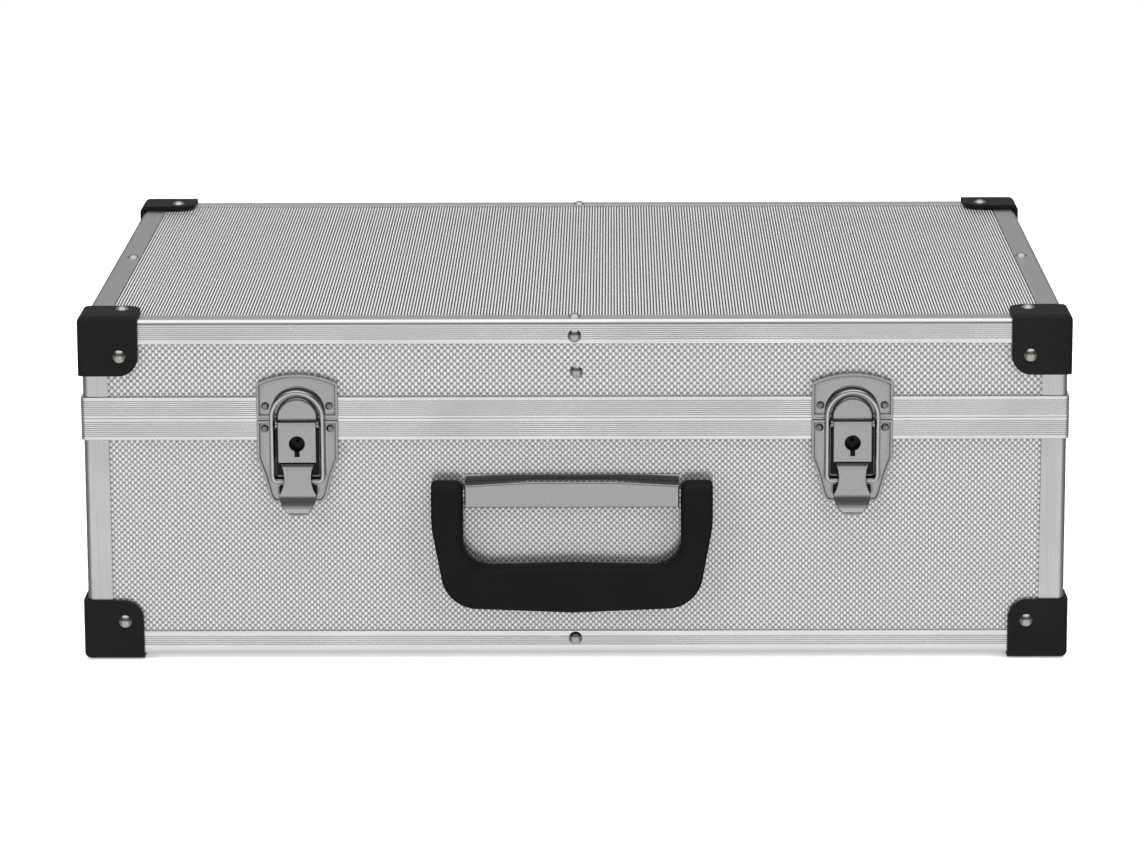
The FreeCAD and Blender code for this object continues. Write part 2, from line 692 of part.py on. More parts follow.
for half in ("lid", "base"):
    sign = 1 if half == "lid" else -1
    leaves = []
    studs = []
    holes = []
    for side, x in hinge_places():
        leaves.append(leaf("%s_leaf_%s" % (half, side), x, half))
        for step in (-1, 1):
            at = ("%s + %d * hinge_rivet_x" % (x, step), "%s + leaf_thick" % RIM_BACK,
                  "seam + %d * hinge_rivet_z" % sign)
            tag = "%s_hinge_%s_%s" % (half, side, "a" if step < 0 else "b")
            studs.append(rivet(tag + "_rivet", at, "back", "leaf_thick", "hinge_rivet_radius",
                               "hinge_rivet_rise", "shank_radius"))
            holes.append(rivet_hole(tag + "_bore", at, "back", "leaf_thick"))
    drill = group(half + "_leaf_bores", holes)
    plates = cut(half + "_leaves_drilled", group(half + "_leaves", leaves), drill)
    finish(plates, half + "_hinge_leaves")
    finish(group(half + "_hinge_rivet_set", studs), half + "_hinge_rivets")

pins = [rod("hinge_pin_" + side, "hinge_pin_radius", "hinge_length",
            ("%s - hinge_length / 2" % x, HINGE_Y, "seam"), "x") for side, x in hinge_places()]
finish(group("hinge_pin_set", pins), "hinge_pins")


# ---------------------------------------------------------------- latches
def depth(text):
    """Y coordinate of a depth counted outward from the rim face."""
    return "%s - (%s)" % (RIM_FRONT, text)


BACKING = "skin + rim_proud"


def upright(name, outline, x, inner_depth, thick):
    """Polygon given as (x, z) corners, extruded outward from a depth."""
    left = min(evaluate(corner[0]) for corner in outline)
    shifted = [("(%s) - (%s)" % (corner[0], left), corner[1]) for corner in outline]
    turn = Rotation(Vector(1, 0, 0), 90)
    return prism(name, shifted, thick, ("(%s) + (%s)" % (x, left), depth(inner_depth), "0"), turn)


def strike_plate(side, x):
    name = side + "_strike"
    tall = "strike_top - strike_bottom"
    proud = "(plate_thick + bead_rise)"
    plate = box(name + "_sheet", ("plate_width", proud, tall),
                ("%s - plate_width / 2" % x, depth(proud), "strike_bottom"))
    arc = rod(name + "_arc", "strike_arc", "6", (x, "%s - 3" % RIM_FRONT, "strike_top - strike_arc"), "y")
    field = box(name + "_field", ("plate_width - 2 * bead_width", "2", tall),
                ("%s - plate_width / 2 + bead_width" % x, depth("plate_thick + 2"),
                 "strike_bottom + bead_width"))
    field_arc = rod(name + "_field_arc", "strike_arc - bead_width", "6",
                    (x, depth("plate_thick + 6"), "strike_top - strike_arc"), "y")
    sheet_part = cut(name + "_top", common(name + "_whole", [plate, arc]),
                     common(name + "_inside", [field, field_arc]))
    backing = box(name + "_backing", ("plate_width - 6", "%s + 0.3" % BACKING, "6"),
                  ("%s - plate_width / 2 + 3" % x, depth("0.3"), "seam + rim_height"))
    outer = dome_block(name + "_outer", x, "0", "dome_depth - 0.5", "0.5")

    def face_edge(edge):
        front = evaluate(depth("dome_depth"))
        centre = edge.BoundBox.Center
        bottom = abs(centre.z - size_of("dome_bottom")) < 1e-6
        return abs(edge.BoundBox.YMin - front) < 1e-6 and edge.BoundBox.YLength < 1e-6 and not bottom

    outer = rounded(name + "_outer_soft", outer, face_edge, "dome_round")
    hollow_thick = "dome_depth - dome_sheet - plate_thick"
    inner = dome_block(name + "_inner", x, "dome_sheet", hollow_thick, "plate_thick")
    solid = fuse(name + "_solid", [sheet_part, backing, outer])
    return cut(name + "_hollowed", solid, inner)


def dome_block(name, x, inset, thick, inner_depth):
    """Half-moon block: a disc with a straight foot."""
    radius = "(dome_width / 2 - %s)" % inset
    centre = "dome_bottom + dome_height - dome_width / 2"
    outer_y = depth("%s + %s" % (inner_depth, thick))
    disc = rod(name + "_disc", radius, thick, (x, outer_y, centre), "y")
    half = box(name + "_upper", ("dome_width + 2", "(%s) + 2" % thick, "dome_width"),
               ("%s - dome_width / 2 - 1" % x, "%s - 1" % outer_y, centre))
    cap = common(name + "_cap", [disc, half])
    foot_low = "dome_bottom" if inset == "0" else "dome_bottom - 1"
    foot = box(name + "_foot", ("2 * %s" % radius, thick, "%s - (%s)" % (centre, foot_low)),
               ("%s - %s" % (x, radius), outer_y, foot_low))
    body = fuse(name, [cap, foot])
    body.Refine = True
    return body


def latch_plate(side, x):
    name = side + "_latch_plate"
    half = "plate_width / 2"

    def outline(inset):
        """Right half of the plate's edge from the top down, then mirrored."""
        side_half = [("%s - %s" % (half, inset), "base_plate_top - %s" % inset),
                     ("%s - %s" % (half, inset), "taper_top"),
                     ("taper_middle_half - %s" % inset, "taper_middle"),
                     ("foot_half - %s" % inset, "base_plate_foot + 2 + %s" % inset),
                     ("foot_half - 2 - %s / 2" % inset, "base_plate_foot + %s" % inset)]
        return side_half + [("-(%s)" % px, pz) for px, pz in reversed(side_half)]

    whole = upright(name + "_sheet", outline("0"), x, "0", "plate_thick + bead_rise")
    field = upright(name + "_field", outline("bead_width"), x, "plate_thick", "2")
    plate = cut(name + "_beaded", whole, field)
    backing = box(name + "_backing", ("2 * foot_half - 6", "%s + 0.3" % BACKING, "26"),
                  ("%s - foot_half + 3" % x, depth("0.3"), "seam - rim_height - 26"))
    pieces = [plate, backing]
    holes = []
    for tag, sign in (("a", -1), ("b", 1)):
        ear_x = "%s + %d * (ear_inner + ear_thick / 2) - ear_thick / 2" % (x, sign)
        ear_name = "%s_ear_%s" % (name, tag)
        pieces.append(rod(ear_name, "ear_round", "ear_thick",
                          (ear_x, depth("lever_pin_depth"), "lever_pin_height"), "x"))
        pieces.append(box(ear_name + "_stem", ("ear_thick", "lever_pin_depth - 0.5", "2 * ear_round"),
                          (ear_x, depth("lever_pin_depth"), "lever_pin_height - ear_round")))
        holes.append(rod(ear_name + "_bore", "lever_pin_radius", "ear_thick + 1",
                         ("%s - 0.5" % ear_x, depth("lever_pin_depth"), "lever_pin_height"), "x"))
    return cut(name + "_body", fuse(name + "_solid", pieces), group(name + "_bores", holes))


# Lever seen from the side: (depth, height) along its outer face down to the lifting tab and back up inside.
# The blade starts behind the lower edge of the lock plate and bends out from there.
LEVER_PROFILE = [(6.5, 114.4), (6.5, 95.5), (5.6, 95.5), (5.6, 96.6), (4.4, 96.6), (4.4, 95.4),
                 (5.2, 94.4), (5.55, 93.2), (5.7, 91.5), (5.7, 79.4), (5.85, 78.6), (6.2, 77.4),
                 (6.7, 76.2), (7.3, 75), (8, 73.9), (8.8, 72.9), (9.7, 72.2), (10.8, 71.6),
                 (10.3, 70.8), (9.2, 71.4), (8.1, 72.2), (7.2, 73.3), (6.5, 74.5), (5.85, 75.8),
                 (5.3, 77.1), (4.9, 78.4), (4.7, 79.4), (4.7, 91.6), (4.55, 93.5), (4.2, 94.5),
                 (3.4, 95.5), (3.4, 97.6), (5.5, 97.6), (5.5, 114.4)]
# Left edge of the lever seen from the front, from the bottom of the lock plate to the tip of the tab.
LEVER_OUTLINE = [(-8.75, 95.5), (-7.8, 95.4), (-7.2, 93.4), (-6.6, 91.5), (-6.3, 89.5), (-6.2, 87.5),
                 (-6.3, 86), (-6.6, 84.5), (-7.2, 82.5), (-7.9, 81), (-8.6, 79.6), (-8.6, 78.4), (-8.4, 77.2),
                 (-7.9, 76), (-7.4, 75), (-6.7, 74), (-5.8, 73), (-4.9, 72.2), (-3.8, 71.6), (-2.4, 71.1)]


def latch_lever(side, x):
    name = side + "_lever"
    profile = [("lever_pin_depth - (%s) + 10" % d, "lever_pin_height + (%s) - 60" % round(z - 113.2, 3))
               for d, z in LEVER_PROFILE]
    # local sketch: first coordinate runs inward, second runs up
    turn = Rotation(Vector(0, 0, 1), 90).multiply(Rotation(Vector(1, 0, 0), 90))
    side_bar = prism(name + "_side", profile, "lever_width + 4",
                     ("%s - lever_width / 2 - 2" % x, "%s - lever_pin_depth - 10" % RIM_FRONT, "60"), turn)
    right = [(-px, pz) for px, pz in reversed(LEVER_OUTLINE)]
    outline = [("%s * lever_width / 17.5" % px, "lever_pin_height + (%s)" % round(pz - 113.2, 3))
               for px, pz in LEVER_OUTLINE + right]
    outline += [("lever_width / 2", "lever_pin_height + 3"), ("-lever_width / 2", "lever_pin_height + 3")]
    face = upright(name + "_face", outline, x, "1.2", "16")
    blade = common(name + "_blade", [side_bar, face])
    roll = rod(name + "_roll", "lever_roll", "lever_width",
               ("%s - lever_width / 2" % x, depth("lever_pin_depth"), "lever_pin_height"), "x")
    pieces = [blade, roll]
    holes = [rod(name + "_pin_bore", "lever_pin_radius + running_gap", "lever_width + 2",
                 ("%s - lever_width / 2 - 1" % x, depth("lever_pin_depth"), "lever_pin_height"), "x")]
    for tag, sign in (("a", -1), ("b", 1)):
        lug_x = "%s + %d * 5 - 1" % (x, sign)
        lug = "%s_lug_%s" % (name, tag)
        pieces.append(rod(lug, "2.1", "2", (lug_x, depth("bail_pin_depth"), "bail_pin_height"), "x"))
        pieces.append(box(lug + "_root", ("2", "5.2 - bail_pin_depth", "4.2"),
                          (lug_x, depth("5.2"), "bail_pin_height - 2.1")))
    holes.append(rod(name + "_wire_bore", "wire_radius + running_gap", "20",
                     ("%s - 10" % x, depth("bail_pin_depth"), "bail_pin_height"), "x"))
    key_hole = rod(name + "_key_round", "key_radius", "3", (x, depth("8"), "key_height"), "y")
    key_slot = box(name + "_key_slot", ("key_slot", "3", "key_slot_drop"),
                   ("%s - key_slot / 2" % x, depth("8"), "key_height - key_slot_drop"))
    solid = cut(name + "_bored", fuse(name + "_solid", pieces), group(name + "_bores", holes))
    return cut(name + "_body", solid, fuse(name + "_key", [key_hole, key_slot]))


def latch_bail(side, x):
    """Closed wire loop, modelled flat in local XY with its pivot on the X axis."""
    name = side + "_bail"
    rise = "(bail_top - bail_pin_height)"
    out = "(bail_top_depth - bail_pin_depth)"
    length = "sqrt(%s * %s + %s * %s)" % (rise, rise, out, out)
    arch_y = "%s - bail_half" % length
    arch = doc.addObject("Part::Torus", name + "_arch")
    bind(arch, Radius1="bail_half", Radius2="wire_radius", Angle3="180")
    place(arch, ("0", arch_y, "0"))
    pieces = [arch]
    for tag, sign, turn in (("a", -1, 180), ("b", 1, 270)):
        pieces.append(rod("%s_leg_%s" % (name, tag), "wire_radius", "%s - bail_elbow" % arch_y,
                          ("%d * bail_half" % sign, "bail_elbow", "0"), "y"))
        elbow = doc.addObject("Part::Torus", "%s_elbow_%s" % (name, tag))
        bind(elbow, Radius1="bail_elbow", Radius2="wire_radius", Angle3="90")
        place(elbow, ("%d * (bail_half - bail_elbow)" % sign, "bail_elbow", "0"),
              Rotation(Vector(0, 0, 1), turn))
        pieces.append(elbow)
    pieces.append(rod(name + "_foot", "wire_radius", "2 * (bail_half - bail_elbow)",
                      ("bail_elbow - bail_half", "0", "0"), "x"))
    lean = math.degrees(math.atan2(evaluate(out), evaluate(rise)))
    loop = fuse(name + "_loop", pieces)
    pivot = (x, depth("bail_pin_depth"), "bail_pin_height")
    return place(loop, pivot, Rotation(Vector(1, 0, 0), 90 + lean))


def latch_lock(side, x):
    """Dark lock body behind the lever: bored block with its key post, a thinner step below, and a foot.

    The step and the foot leave room between them for the bottom wire of the bail.
    """
    name = side + "_lock"

    def block(tag, half, face, low, high):
        return box("%s_%s" % (name, tag), ("2 * " + half, face + " - plate_thick", "%s - %s" % (high, low)),
                   ("%s - %s" % (x, half), depth(face), low))

    bore = rod(name + "_bore", "lock_bore", "lock_depth - 1.6", (x, depth("lock_depth"), "key_height"), "y")
    head = cut(name + "_bored", block("head", "lock_half", "lock_depth", "lock_step", "lock_top"), bore)
    key_post = rod(name + "_post", "post_radius", "lock_depth - 1.2",
                   (x, depth("lock_depth + 0.3"), "key_height"), "y")
    step = block("step", "lock_half", "lock_low_depth", "lock_low", "lock_step")
    foot = block("foot", "lock_foot_half", "lock_low_depth", "lock_foot", "lock_foot_top")
    return group(name + "_body", [fuse(name + "_upper", [head, key_post, step]), foot])


for side, sign in (("left", -1), ("right", 1)):
    x = "(%d * latch_offset)" % sign
    drill = []
    for kind, at_x, at_z in (("strike", "strike_rivet_x", "strike_rivet_z"),
                             ("plate", "plate_rivet_x", "plate_rivet_z")):
        studs = []
        holes = []
        for step in (-1, 1):
            at = ("%s + %d * %s" % (x, step, at_x), depth("plate_thick"), at_z)
            tag = "%s_%s_%s" % (side, kind, "a" if step < 0 else "b")
            studs.append(rivet(tag + "_stud", at, "front", "plate_thick", "small_rivet",
                               "small_rivet_rise", "1"))
            holes.append(rivet_hole(tag + "_bore", at, "front", "plate_thick", "1"))
        finish(group("%s_%s_stud_set" % (side, kind), studs), "%s_%s_rivets" % (side, kind))
        drill.append(group("%s_%s_bores" % (side, kind), holes))
    finish(cut(side + "_strike_drilled", strike_plate(side, x), drill[0]), side + "_strike_plate")
    finish(cut(side + "_plate_drilled", latch_plate(side, x), drill[1]), side + "_latch_plate")
    finish(rod(side + "_pivot", "lever_pin_radius", "2 * (ear_inner + ear_thick)",
               ("%s - ear_inner - ear_thick" % x, depth("lever_pin_depth"), "lever_pin_height"), "x"),
           side + "_lever_pin")
    finish(latch_lever(side, x), side + "_latch_lever")
    finish(latch_bail(side, x), side + "_latch_bail")
    finish(latch_lock(side, x), side + "_latch_lock")


# ---------------------------------------------------------------- handle
HANDLE_Y = "%s - handle_axis_depth" % FRONT


def handle_bracket():
    """Hollow pressed bracket over the rod, its top edge highest in the middle."""
    half = "bracket_length / 2"
    low = "handle_axis_height - bracket_height / 2"
    high = "handle_axis_height + bracket_height / 2"
    front = "%s - bracket_depth" % FRONT
    thick = "bracket_depth + skin"
    outline = [("-" + half, low), (half, low), (half, high + " - bracket_drop"),
               ("bracket_crest", high), ("-bracket_crest", high), ("-" + half, high + " - bracket_drop")]
    block = upright("bracket_block", outline, "handle_shift", "-rim_proud - skin", thick)

    def front_edge(edge):
        level = evaluate(front)
        return abs(edge.BoundBox.YMin - level) < 1e-6 and edge.BoundBox.YLength < 1e-6

    block = rounded("bracket_soft", block, front_edge, "bracket_round")
    flange = box("bracket_flange", ("bracket_length", "plate_thick", "bracket_height + 2 * bracket_flange"),
                 ("handle_shift - %s" % half, "%s - plate_thick" % PANEL_FRONT,
                  "%s - bracket_flange" % low))
    hollow = box("bracket_hollow",
                 ("bracket_length - 2 * bracket_sheet", thick,
                  "bracket_height - bracket_drop - 2 * bracket_sheet"),
                 ("handle_shift - %s + bracket_sheet" % half, "%s + bracket_sheet" % front,
                  "%s + bracket_sheet" % low))
    shell = cut("bracket_shell", fuse("bracket_solid", [block, flange]), hollow)
    bore = rod("bracket_bore", "rod_radius", "2 * rod_half",
               ("handle_shift - rod_half", HANDLE_Y, "handle_axis_height"), "x")
    return cut("bracket_body", shell, bore)


def handle_grip():
    """U-shaped grip whose two lugs turn on the rod ends."""
    front = "%s - grip_thick / 2" % HANDLE_Y
    depth_in = "handle_axis_depth - rim_proud - grip_thick / 2"
    left_side = [("-grip_half", "handle_axis_height"), ("-grip_half", "grip_shoulder"),
                 ("-grip_foot_half", "grip_foot_side"), ("0", "grip_foot")]
    right_side = [("grip_foot_half", "grip_foot_side"), ("grip_half", "grip_shoulder"),
                  ("grip_half", "handle_axis_height")]
    outer = upright("grip_outer", left_side + right_side, "handle_shift", depth_in, "grip_thick")
    opening = [("-grip_inner_half", "handle_axis_height + 20"), ("-grip_inner_half", "grip_inner_side"),
               ("0", "grip_inner_foot"), ("grip_inner_half", "grip_inner_side"),
               ("grip_inner_half", "handle_axis_height + 20")]
    inner = upright("grip_inner", opening, "handle_shift", depth_in + " - 1", "grip_thick + 2")

    def standing_edge(half, level):
        def choose(edge):
            centre = edge.BoundBox.Center
            across = abs(abs(centre.x - size_of("handle_shift")) - size_of(half)) < 1e-6
            return runs_along(edge, 1) and across and abs(centre.z - size_of(level)) < 1e-6
        return choose

    foot_edges = standing_edge("grip_foot_half", "grip_foot_side")
    outer = rounded("grip_foot_corners", outer, foot_edges, "grip_corner")
    shoulder_edges = standing_edge("grip_half", "grip_shoulder")
    outer = rounded("grip_shoulders", outer, shoulder_edges, "grip_shoulder_round")
    inner = rounded("grip_inner_corners", inner, standing_edge("grip_inner_half", "grip_inner_side"),
                    "grip_inner_corner")
    arm = "(grip_half - grip_inner_half)"
    lugs = [rod("grip_lug_" + tag, "grip_thick / 2", arm, (x, HANDLE_Y, "handle_axis_height"), "x")
            for tag, x in (("a", "handle_shift - grip_half"), ("b", "handle_shift + grip_inner_half"))]
    body = fuse("grip_solid", [cut("grip_frame", outer, inner)] + lugs)
    body.Refine = True

    def face_edge(inside):
        def choose(edge):
            bounds = edge.BoundBox
            faces = (evaluate(front), evaluate(front) + size_of("grip_thick"))
            on_face = bounds.YLength < 1e-6 and min(abs(bounds.YMin - value) for value in faces) < 1e-6
            lug_line = runs_along(edge, 0) and bounds.ZMin > size_of("handle_axis_height") - 1e-6
            across = abs(bounds.Center.x - size_of("handle_shift")) < size_of("grip_inner_half") + 1e-3
            above = bounds.ZMin > size_of("grip_inner_side") - 1e-3
            return on_face and not lug_line and (across and above) == inside
        return choose

    body = rounded("grip_inner_soft", body, face_edge(True), "grip_inner_edge")
    body = rounded("grip_soft", body, face_edge(False), "grip_edge")
    bore = rod("grip_bore", "rod_radius + running_gap", "2 * (rod_half + 0.5)",
               ("handle_shift - rod_half - 0.5", HANDLE_Y, "handle_axis_height"), "x")
    return cut("grip_body", body, bore)


finish(handle_bracket(), "handle_bracket")
finish(rod("handle_rod_body", "rod_radius", "2 * rod_half",
           ("handle_shift - rod_half", HANDLE_Y, "handle_axis_height"), "x"), "handle_rod")
finish(handle_grip(), "handle_grip")

# ---------------------------------------------------------------- check and export
doc.removeObject("Probe")
doc.recompute()
for obj in doc.Objects:
    bad = [state for state in obj.State if state in ("Invalid", "Error")]
    if bad:
        raise RuntimeError("%s (%s) is %s" % (obj.Name, obj.Label, bad))

os.makedirs("parts", exist_ok=True)
for node in nodes:
    shape = node.Shape
    if shape.isNull() or not shape.isValid():
        raise RuntimeError("%s has no sound shape" % node.Label)
    shape.exportStep("parts/%s.step" % node.Label)
print("%d nodes exported" % len(nodes))
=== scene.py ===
import math

import bmesh
import bpy
import numpy as np
from mathutils import Matrix, Vector


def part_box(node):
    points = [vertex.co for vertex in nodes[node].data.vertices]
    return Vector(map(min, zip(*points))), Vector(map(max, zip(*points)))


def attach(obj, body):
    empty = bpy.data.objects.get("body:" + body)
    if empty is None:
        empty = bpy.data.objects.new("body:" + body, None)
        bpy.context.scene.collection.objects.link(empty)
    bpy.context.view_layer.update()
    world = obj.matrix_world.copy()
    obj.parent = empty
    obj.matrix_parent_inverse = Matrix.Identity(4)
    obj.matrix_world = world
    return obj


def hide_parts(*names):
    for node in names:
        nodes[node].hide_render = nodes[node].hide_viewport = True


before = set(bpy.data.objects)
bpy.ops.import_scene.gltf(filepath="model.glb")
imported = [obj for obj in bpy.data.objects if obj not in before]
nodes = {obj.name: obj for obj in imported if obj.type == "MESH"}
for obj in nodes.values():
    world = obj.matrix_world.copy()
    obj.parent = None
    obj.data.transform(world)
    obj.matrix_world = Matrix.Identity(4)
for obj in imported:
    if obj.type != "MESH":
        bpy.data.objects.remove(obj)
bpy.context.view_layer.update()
MM = 0.001
scene = bpy.context.scene
scene.view_settings.view_transform = "Standard"
scene.view_settings.look = "None"


# ------------------------------------------------------------------ camera
CAMERA_TARGET = Vector((0, 3.4, 80)) * MM
CAMERA_AZIMUTH, CAMERA_ELEVATION, CAMERA_ROLL = 0.45, 12.26, -0.20
CAMERA_DISTANCE = 2.333

turn, rise = math.radians(CAMERA_AZIMUTH), math.radians(CAMERA_ELEVATION)
away = Vector((math.sin(turn) * math.cos(rise), -math.cos(turn) * math.cos(rise), math.sin(rise)))
camera = bpy.data.objects.new("camera", bpy.data.cameras.new("camera"))
camera.data.sensor_width = 36
camera.data.lens = 147.1
camera.data.shift_x = -0.0048
camera.data.shift_y = -0.0107
camera.data.clip_start, camera.data.clip_end = 0.05, 50
camera.rotation_mode = "QUATERNION"
camera.location = CAMERA_TARGET + away * CAMERA_DISTANCE
roll = Matrix.Rotation(math.radians(CAMERA_ROLL), 4, "Z").to_quaternion()
camera.rotation_quaternion = (-away).to_track_quat("-Z", "Y") @ roll
scene.collection.objects.link(camera)
scene.camera = camera


# ------------------------------------------------------------------ material graphs
class Finish:
    """A Principled material with its constant values on the shader's sockets, and a graph for what varies."""

    def __init__(self, name, **sockets):
        self.material = bpy.data.materials.new(name)
        self.material.use_nodes = True
        self.tree = self.material.node_tree
        self.shader = self.tree.nodes["Principled BSDF"]
        for socket, value in sockets.items():
            self.shader.inputs[socket.replace("_", " ")].default_value = value
        self.place = self.node("TexCoord").outputs["Object"]

    def node(self, kind, inputs=None, **settings):
        """A node whose inputs, by name or number, take a value or another node's output."""
        made = self.tree.nodes.new("ShaderNode" + kind)
        for setting, value in settings.items():
            setattr(made, setting, value)
        for socket, value in (inputs or {}).items():
            if isinstance(value, bpy.types.NodeSocket):
                self.tree.links.new(value, made.inputs[socket])
            else:
                made.inputs[socket].default_value = value
        return made

    def noise(self, scale, detail=3.0, rough=0.5):
        """Noise from 0 to 1 over the coordinates in metres, times scale on each axis."""
        place = self.node("Mapping", {"Vector": self.place, "Scale": scale}).outputs["Vector"]
        inputs = {"Vector": place, "Scale": 1.0, "Detail": detail, "Roughness": rough}
        return self.node("TexNoise", inputs).outputs["Fac"]

    def ramp(self, value, *stops):
        """Greys or colours by value: each stop is (position, grey or colour)."""
        made = self.node("ValToRGB", {"Fac": value})
        elements = made.color_ramp.elements
        while len(elements) < len(stops):
            elements.new(0.5)
        for element, (position, colour) in zip(elements, stops):
            element.position = position
            element.color = (*colour, 1) if isinstance(colour, tuple) else (colour, colour, colour, 1)
        return made.outputs["Color"]

    def blend(self, share, low, high):
        """Colour from low to high by share."""
        made = self.node("Mix", data_type="RGBA")
        sockets = {socket.name: socket for socket in made.inputs if socket.enabled}
        for name, value in (("Factor", share), ("A", low), ("B", high)):
            if isinstance(value, bpy.types.NodeSocket):
                self.tree.links.new(value, sockets[name])
            else:
                sockets[name].default_value = (*value, 1)
        return next(s for s in made.outputs if s.enabled)

    def shaded(self, tone, reach, span, dark):
        """Painted shade: the tone, going over to a dark one where the surface is closed in within that reach.
        """
        room = self.node("AmbientOcclusion", {"Distance": reach}, samples=6).outputs["AO"]
        return self.blend(self.ramp(room, (span[0], 0.0), (span[1], 1.0)), dark, tone)

    def drive(self, socket, value):
        self.tree.links.new(value, self.shader.inputs[socket])

    def bump(self, height, depth, strength=1.0, onto=None):
        """Relief of that depth in metres. onto is another bump, or a rounded edge, to add it to."""
        inputs = {"Height": height, "Distance": depth, "Strength": strength}
        if onto is not None:
            inputs["Normal"] = onto
        made = self.node("Bump", inputs)
        self.drive("Normal", made.outputs["Normal"])
        return made.outputs["Normal"]

    def soft_edges(self, radius):
        """Normals that round the edges by that radius."""
        made = self.node("Bevel", {"Radius": radius}, samples=4)
        self.drive("Normal", made.outputs["Normal"])
        return made.outputs["Normal"]


REED_SHADE_REACH = 0.7 * MM  # how near its neighbours a reed's bottom is, for the painted shade in it
STRIP_EDGE = 0.3 * MM
LINES_ACROSS, LINES_ALONG = 1500.0, 14.0  # drawn lines per metre, across and along the drawing
LINE_DEPTH = 0.01 * MM


def scaled(colour, share):
    """A colour made lighter or darker, no lighter than white."""
    return tuple(min(1, channel * share) for channel in colour)


def brushed(name, along, colour):
    """Satin aluminium: fine lines drawn along one axis, cloudy roughness, and painted shade darkening the
    bottoms of its reeds.
    """
    f = Finish(name, Metallic=1.0)
    fine = [LINES_ALONG if axis == along else LINES_ACROSS for axis in "xyz"]
    lines = f.noise(fine, detail=2)
    cloud = f.noise((28, 28, 28))
    tone = f.blend(f.ramp(lines, (0.3, 0.0), (0.7, 1.0)), scaled(colour, 0.94), scaled(colour, 1.06))
    tone = f.blend(f.ramp(cloud, (0.35, 0.0), (0.75, 0.22)), tone, scaled(colour, 0.9))
    # painted shade: the reed bottoms go darker where their neighbours close them in
    f.drive("Base Color", f.shaded(tone, REED_SHADE_REACH, (0.50, 0.95), scaled(colour, 0.58)))
    f.drive("Roughness", f.ramp(cloud, (0.3, 0.23), (0.7, 0.33)))
    f.bump(lines, LINE_DEPTH, 0.15, f.soft_edges(STRIP_EDGE))
    return f.material


def sheet_metal(name, colour, rough, ripple, edge=None, tint=None, crevice_shade=None):
    """Bright plated steel: slow ripples from the press, faint scuffs, rounded edges, painted shade in
    crevices.
    """
    f = Finish(name, Metallic=1.0)
    waves = f.noise((70, 70, 70), detail=2)
    scuffs = f.noise((900, 900, 900), detail=5, rough=0.7)
    worn = f.ramp(scuffs, (0.52, 0.0), (0.72, 1.0))
    tone = f.blend(worn, colour, tint or scaled(colour, 0.86))
    # painted shade: near black where the surface is closed in within that reach
    if crevice_shade:
        tone = f.shaded(tone, crevice_shade, (0.40, 0.90), scaled(colour, 0.06))
    f.drive("Base Color", tone)
    f.drive("Roughness", f.ramp(scuffs, (0.4, rough), (0.8, rough + 0.07)))
    f.bump(waves, ripple, 1.0, f.soft_edges(edge) if edge else None)
    return f.material


def moulded(name, colour, rough, grain, grain_depth, edge=None):
    """Moulded black plastic: fine leathery grain, cloudy in tone and polish."""
    f = Finish(name, Specular_IOR_Level=0.09)
    fine = f.node("TexVoronoi", {"Vector": f.place, "Scale": grain}, feature="F1").outputs["Distance"]
    cloud = f.noise((35, 35, 35), detail=4)
    patchy = f.ramp(cloud, (0.35, 0.0), (0.7, 1.0))
    f.drive("Base Color", f.blend(patchy, colour, scaled(colour, 1.35)))
    f.drive("Roughness", f.ramp(cloud, (0.3, rough), (0.75, rough + 0.1)))
    f.bump(fine, grain_depth, 0.5, f.soft_edges(edge) if edge else None)
    return f.material


def embossed(name, rough, metallic, *stops):
    """Foil facing over the board, with painted highlight where the emboss stands up and painted shade in its
    hollows.
    """
    f = Finish(name, Metallic=metallic)
    fine = f.noise((1800, 1800, 1800))
    cloud = f.noise((14, 14, 14))
    rise = f.node("Attribute", attribute_name="crown").outputs["Fac"]
    # painted highlight and shade: the tone follows how far the emboss stands up
    tone = f.ramp(rise, *stops)
    f.drive("Base Color", f.blend(f.ramp(cloud, (0.3, 0.0), (0.75, 0.10)), tone, (0.5, 0.5, 0.505)))
    f.drive("Roughness", f.ramp(fine, (0.3, rough - 0.04), (0.7, rough + 0.06)))
    f.bump(fine, LINE_DEPTH, 0.3)
    return f.material


def cloth(name, colour, sheen):
    """Short-pile velour glued over the board."""
    f = Finish(name, Roughness=0.95, Sheen_Weight=sheen, Sheen_Roughness=0.45, Specular_IOR_Level=0.15)
    f.shader.inputs["Sheen Tint"].default_value = (0.75, 0.77, 0.82, 1)
    pile = f.noise((1500, 1500, 1500), detail=4, rough=0.7)
    brush = f.noise((45, 45, 45), detail=4)
    tone = f.blend(f.ramp(pile, (0.3, 0.0), (0.7, 1.0)), scaled(colour, 0.6), scaled(colour, 1.5))
    f.drive("Base Color", f.blend(f.ramp(brush, (0.35, 0.0), (0.7, 0.6)), tone, scaled(colour, 1.8)))
    f.bump(pile, 0.25 * MM, 0.8)
    return f.material


def open_foam(name, colour):
    """Open-cell foam: painted shade in its small pores, paler walls between them."""
    f = Finish(name, Roughness=0.98, Sheen_Weight=0.15, Specular_IOR_Level=0.1)
    cells = f.node("TexVoronoi", {"Vector": f.place, "Scale": 900.0}, feature="DISTANCE_TO_EDGE")
    wide = f.noise((30, 30, 30))
    pores = f.ramp(cells.outputs["Distance"], (0.05, 1.0), (0.35, 0.0))
    # painted shade: the pores darker than the walls
    tone = f.blend(pores, scaled(colour, 0.45), scaled(colour, 1.3))
    f.drive("Base Color", f.blend(f.ramp(wide, (0.35, 0.0), (0.7, 0.5)), tone, colour))
    f.bump(pores, 0.4 * MM, 0.9)
    return f.material
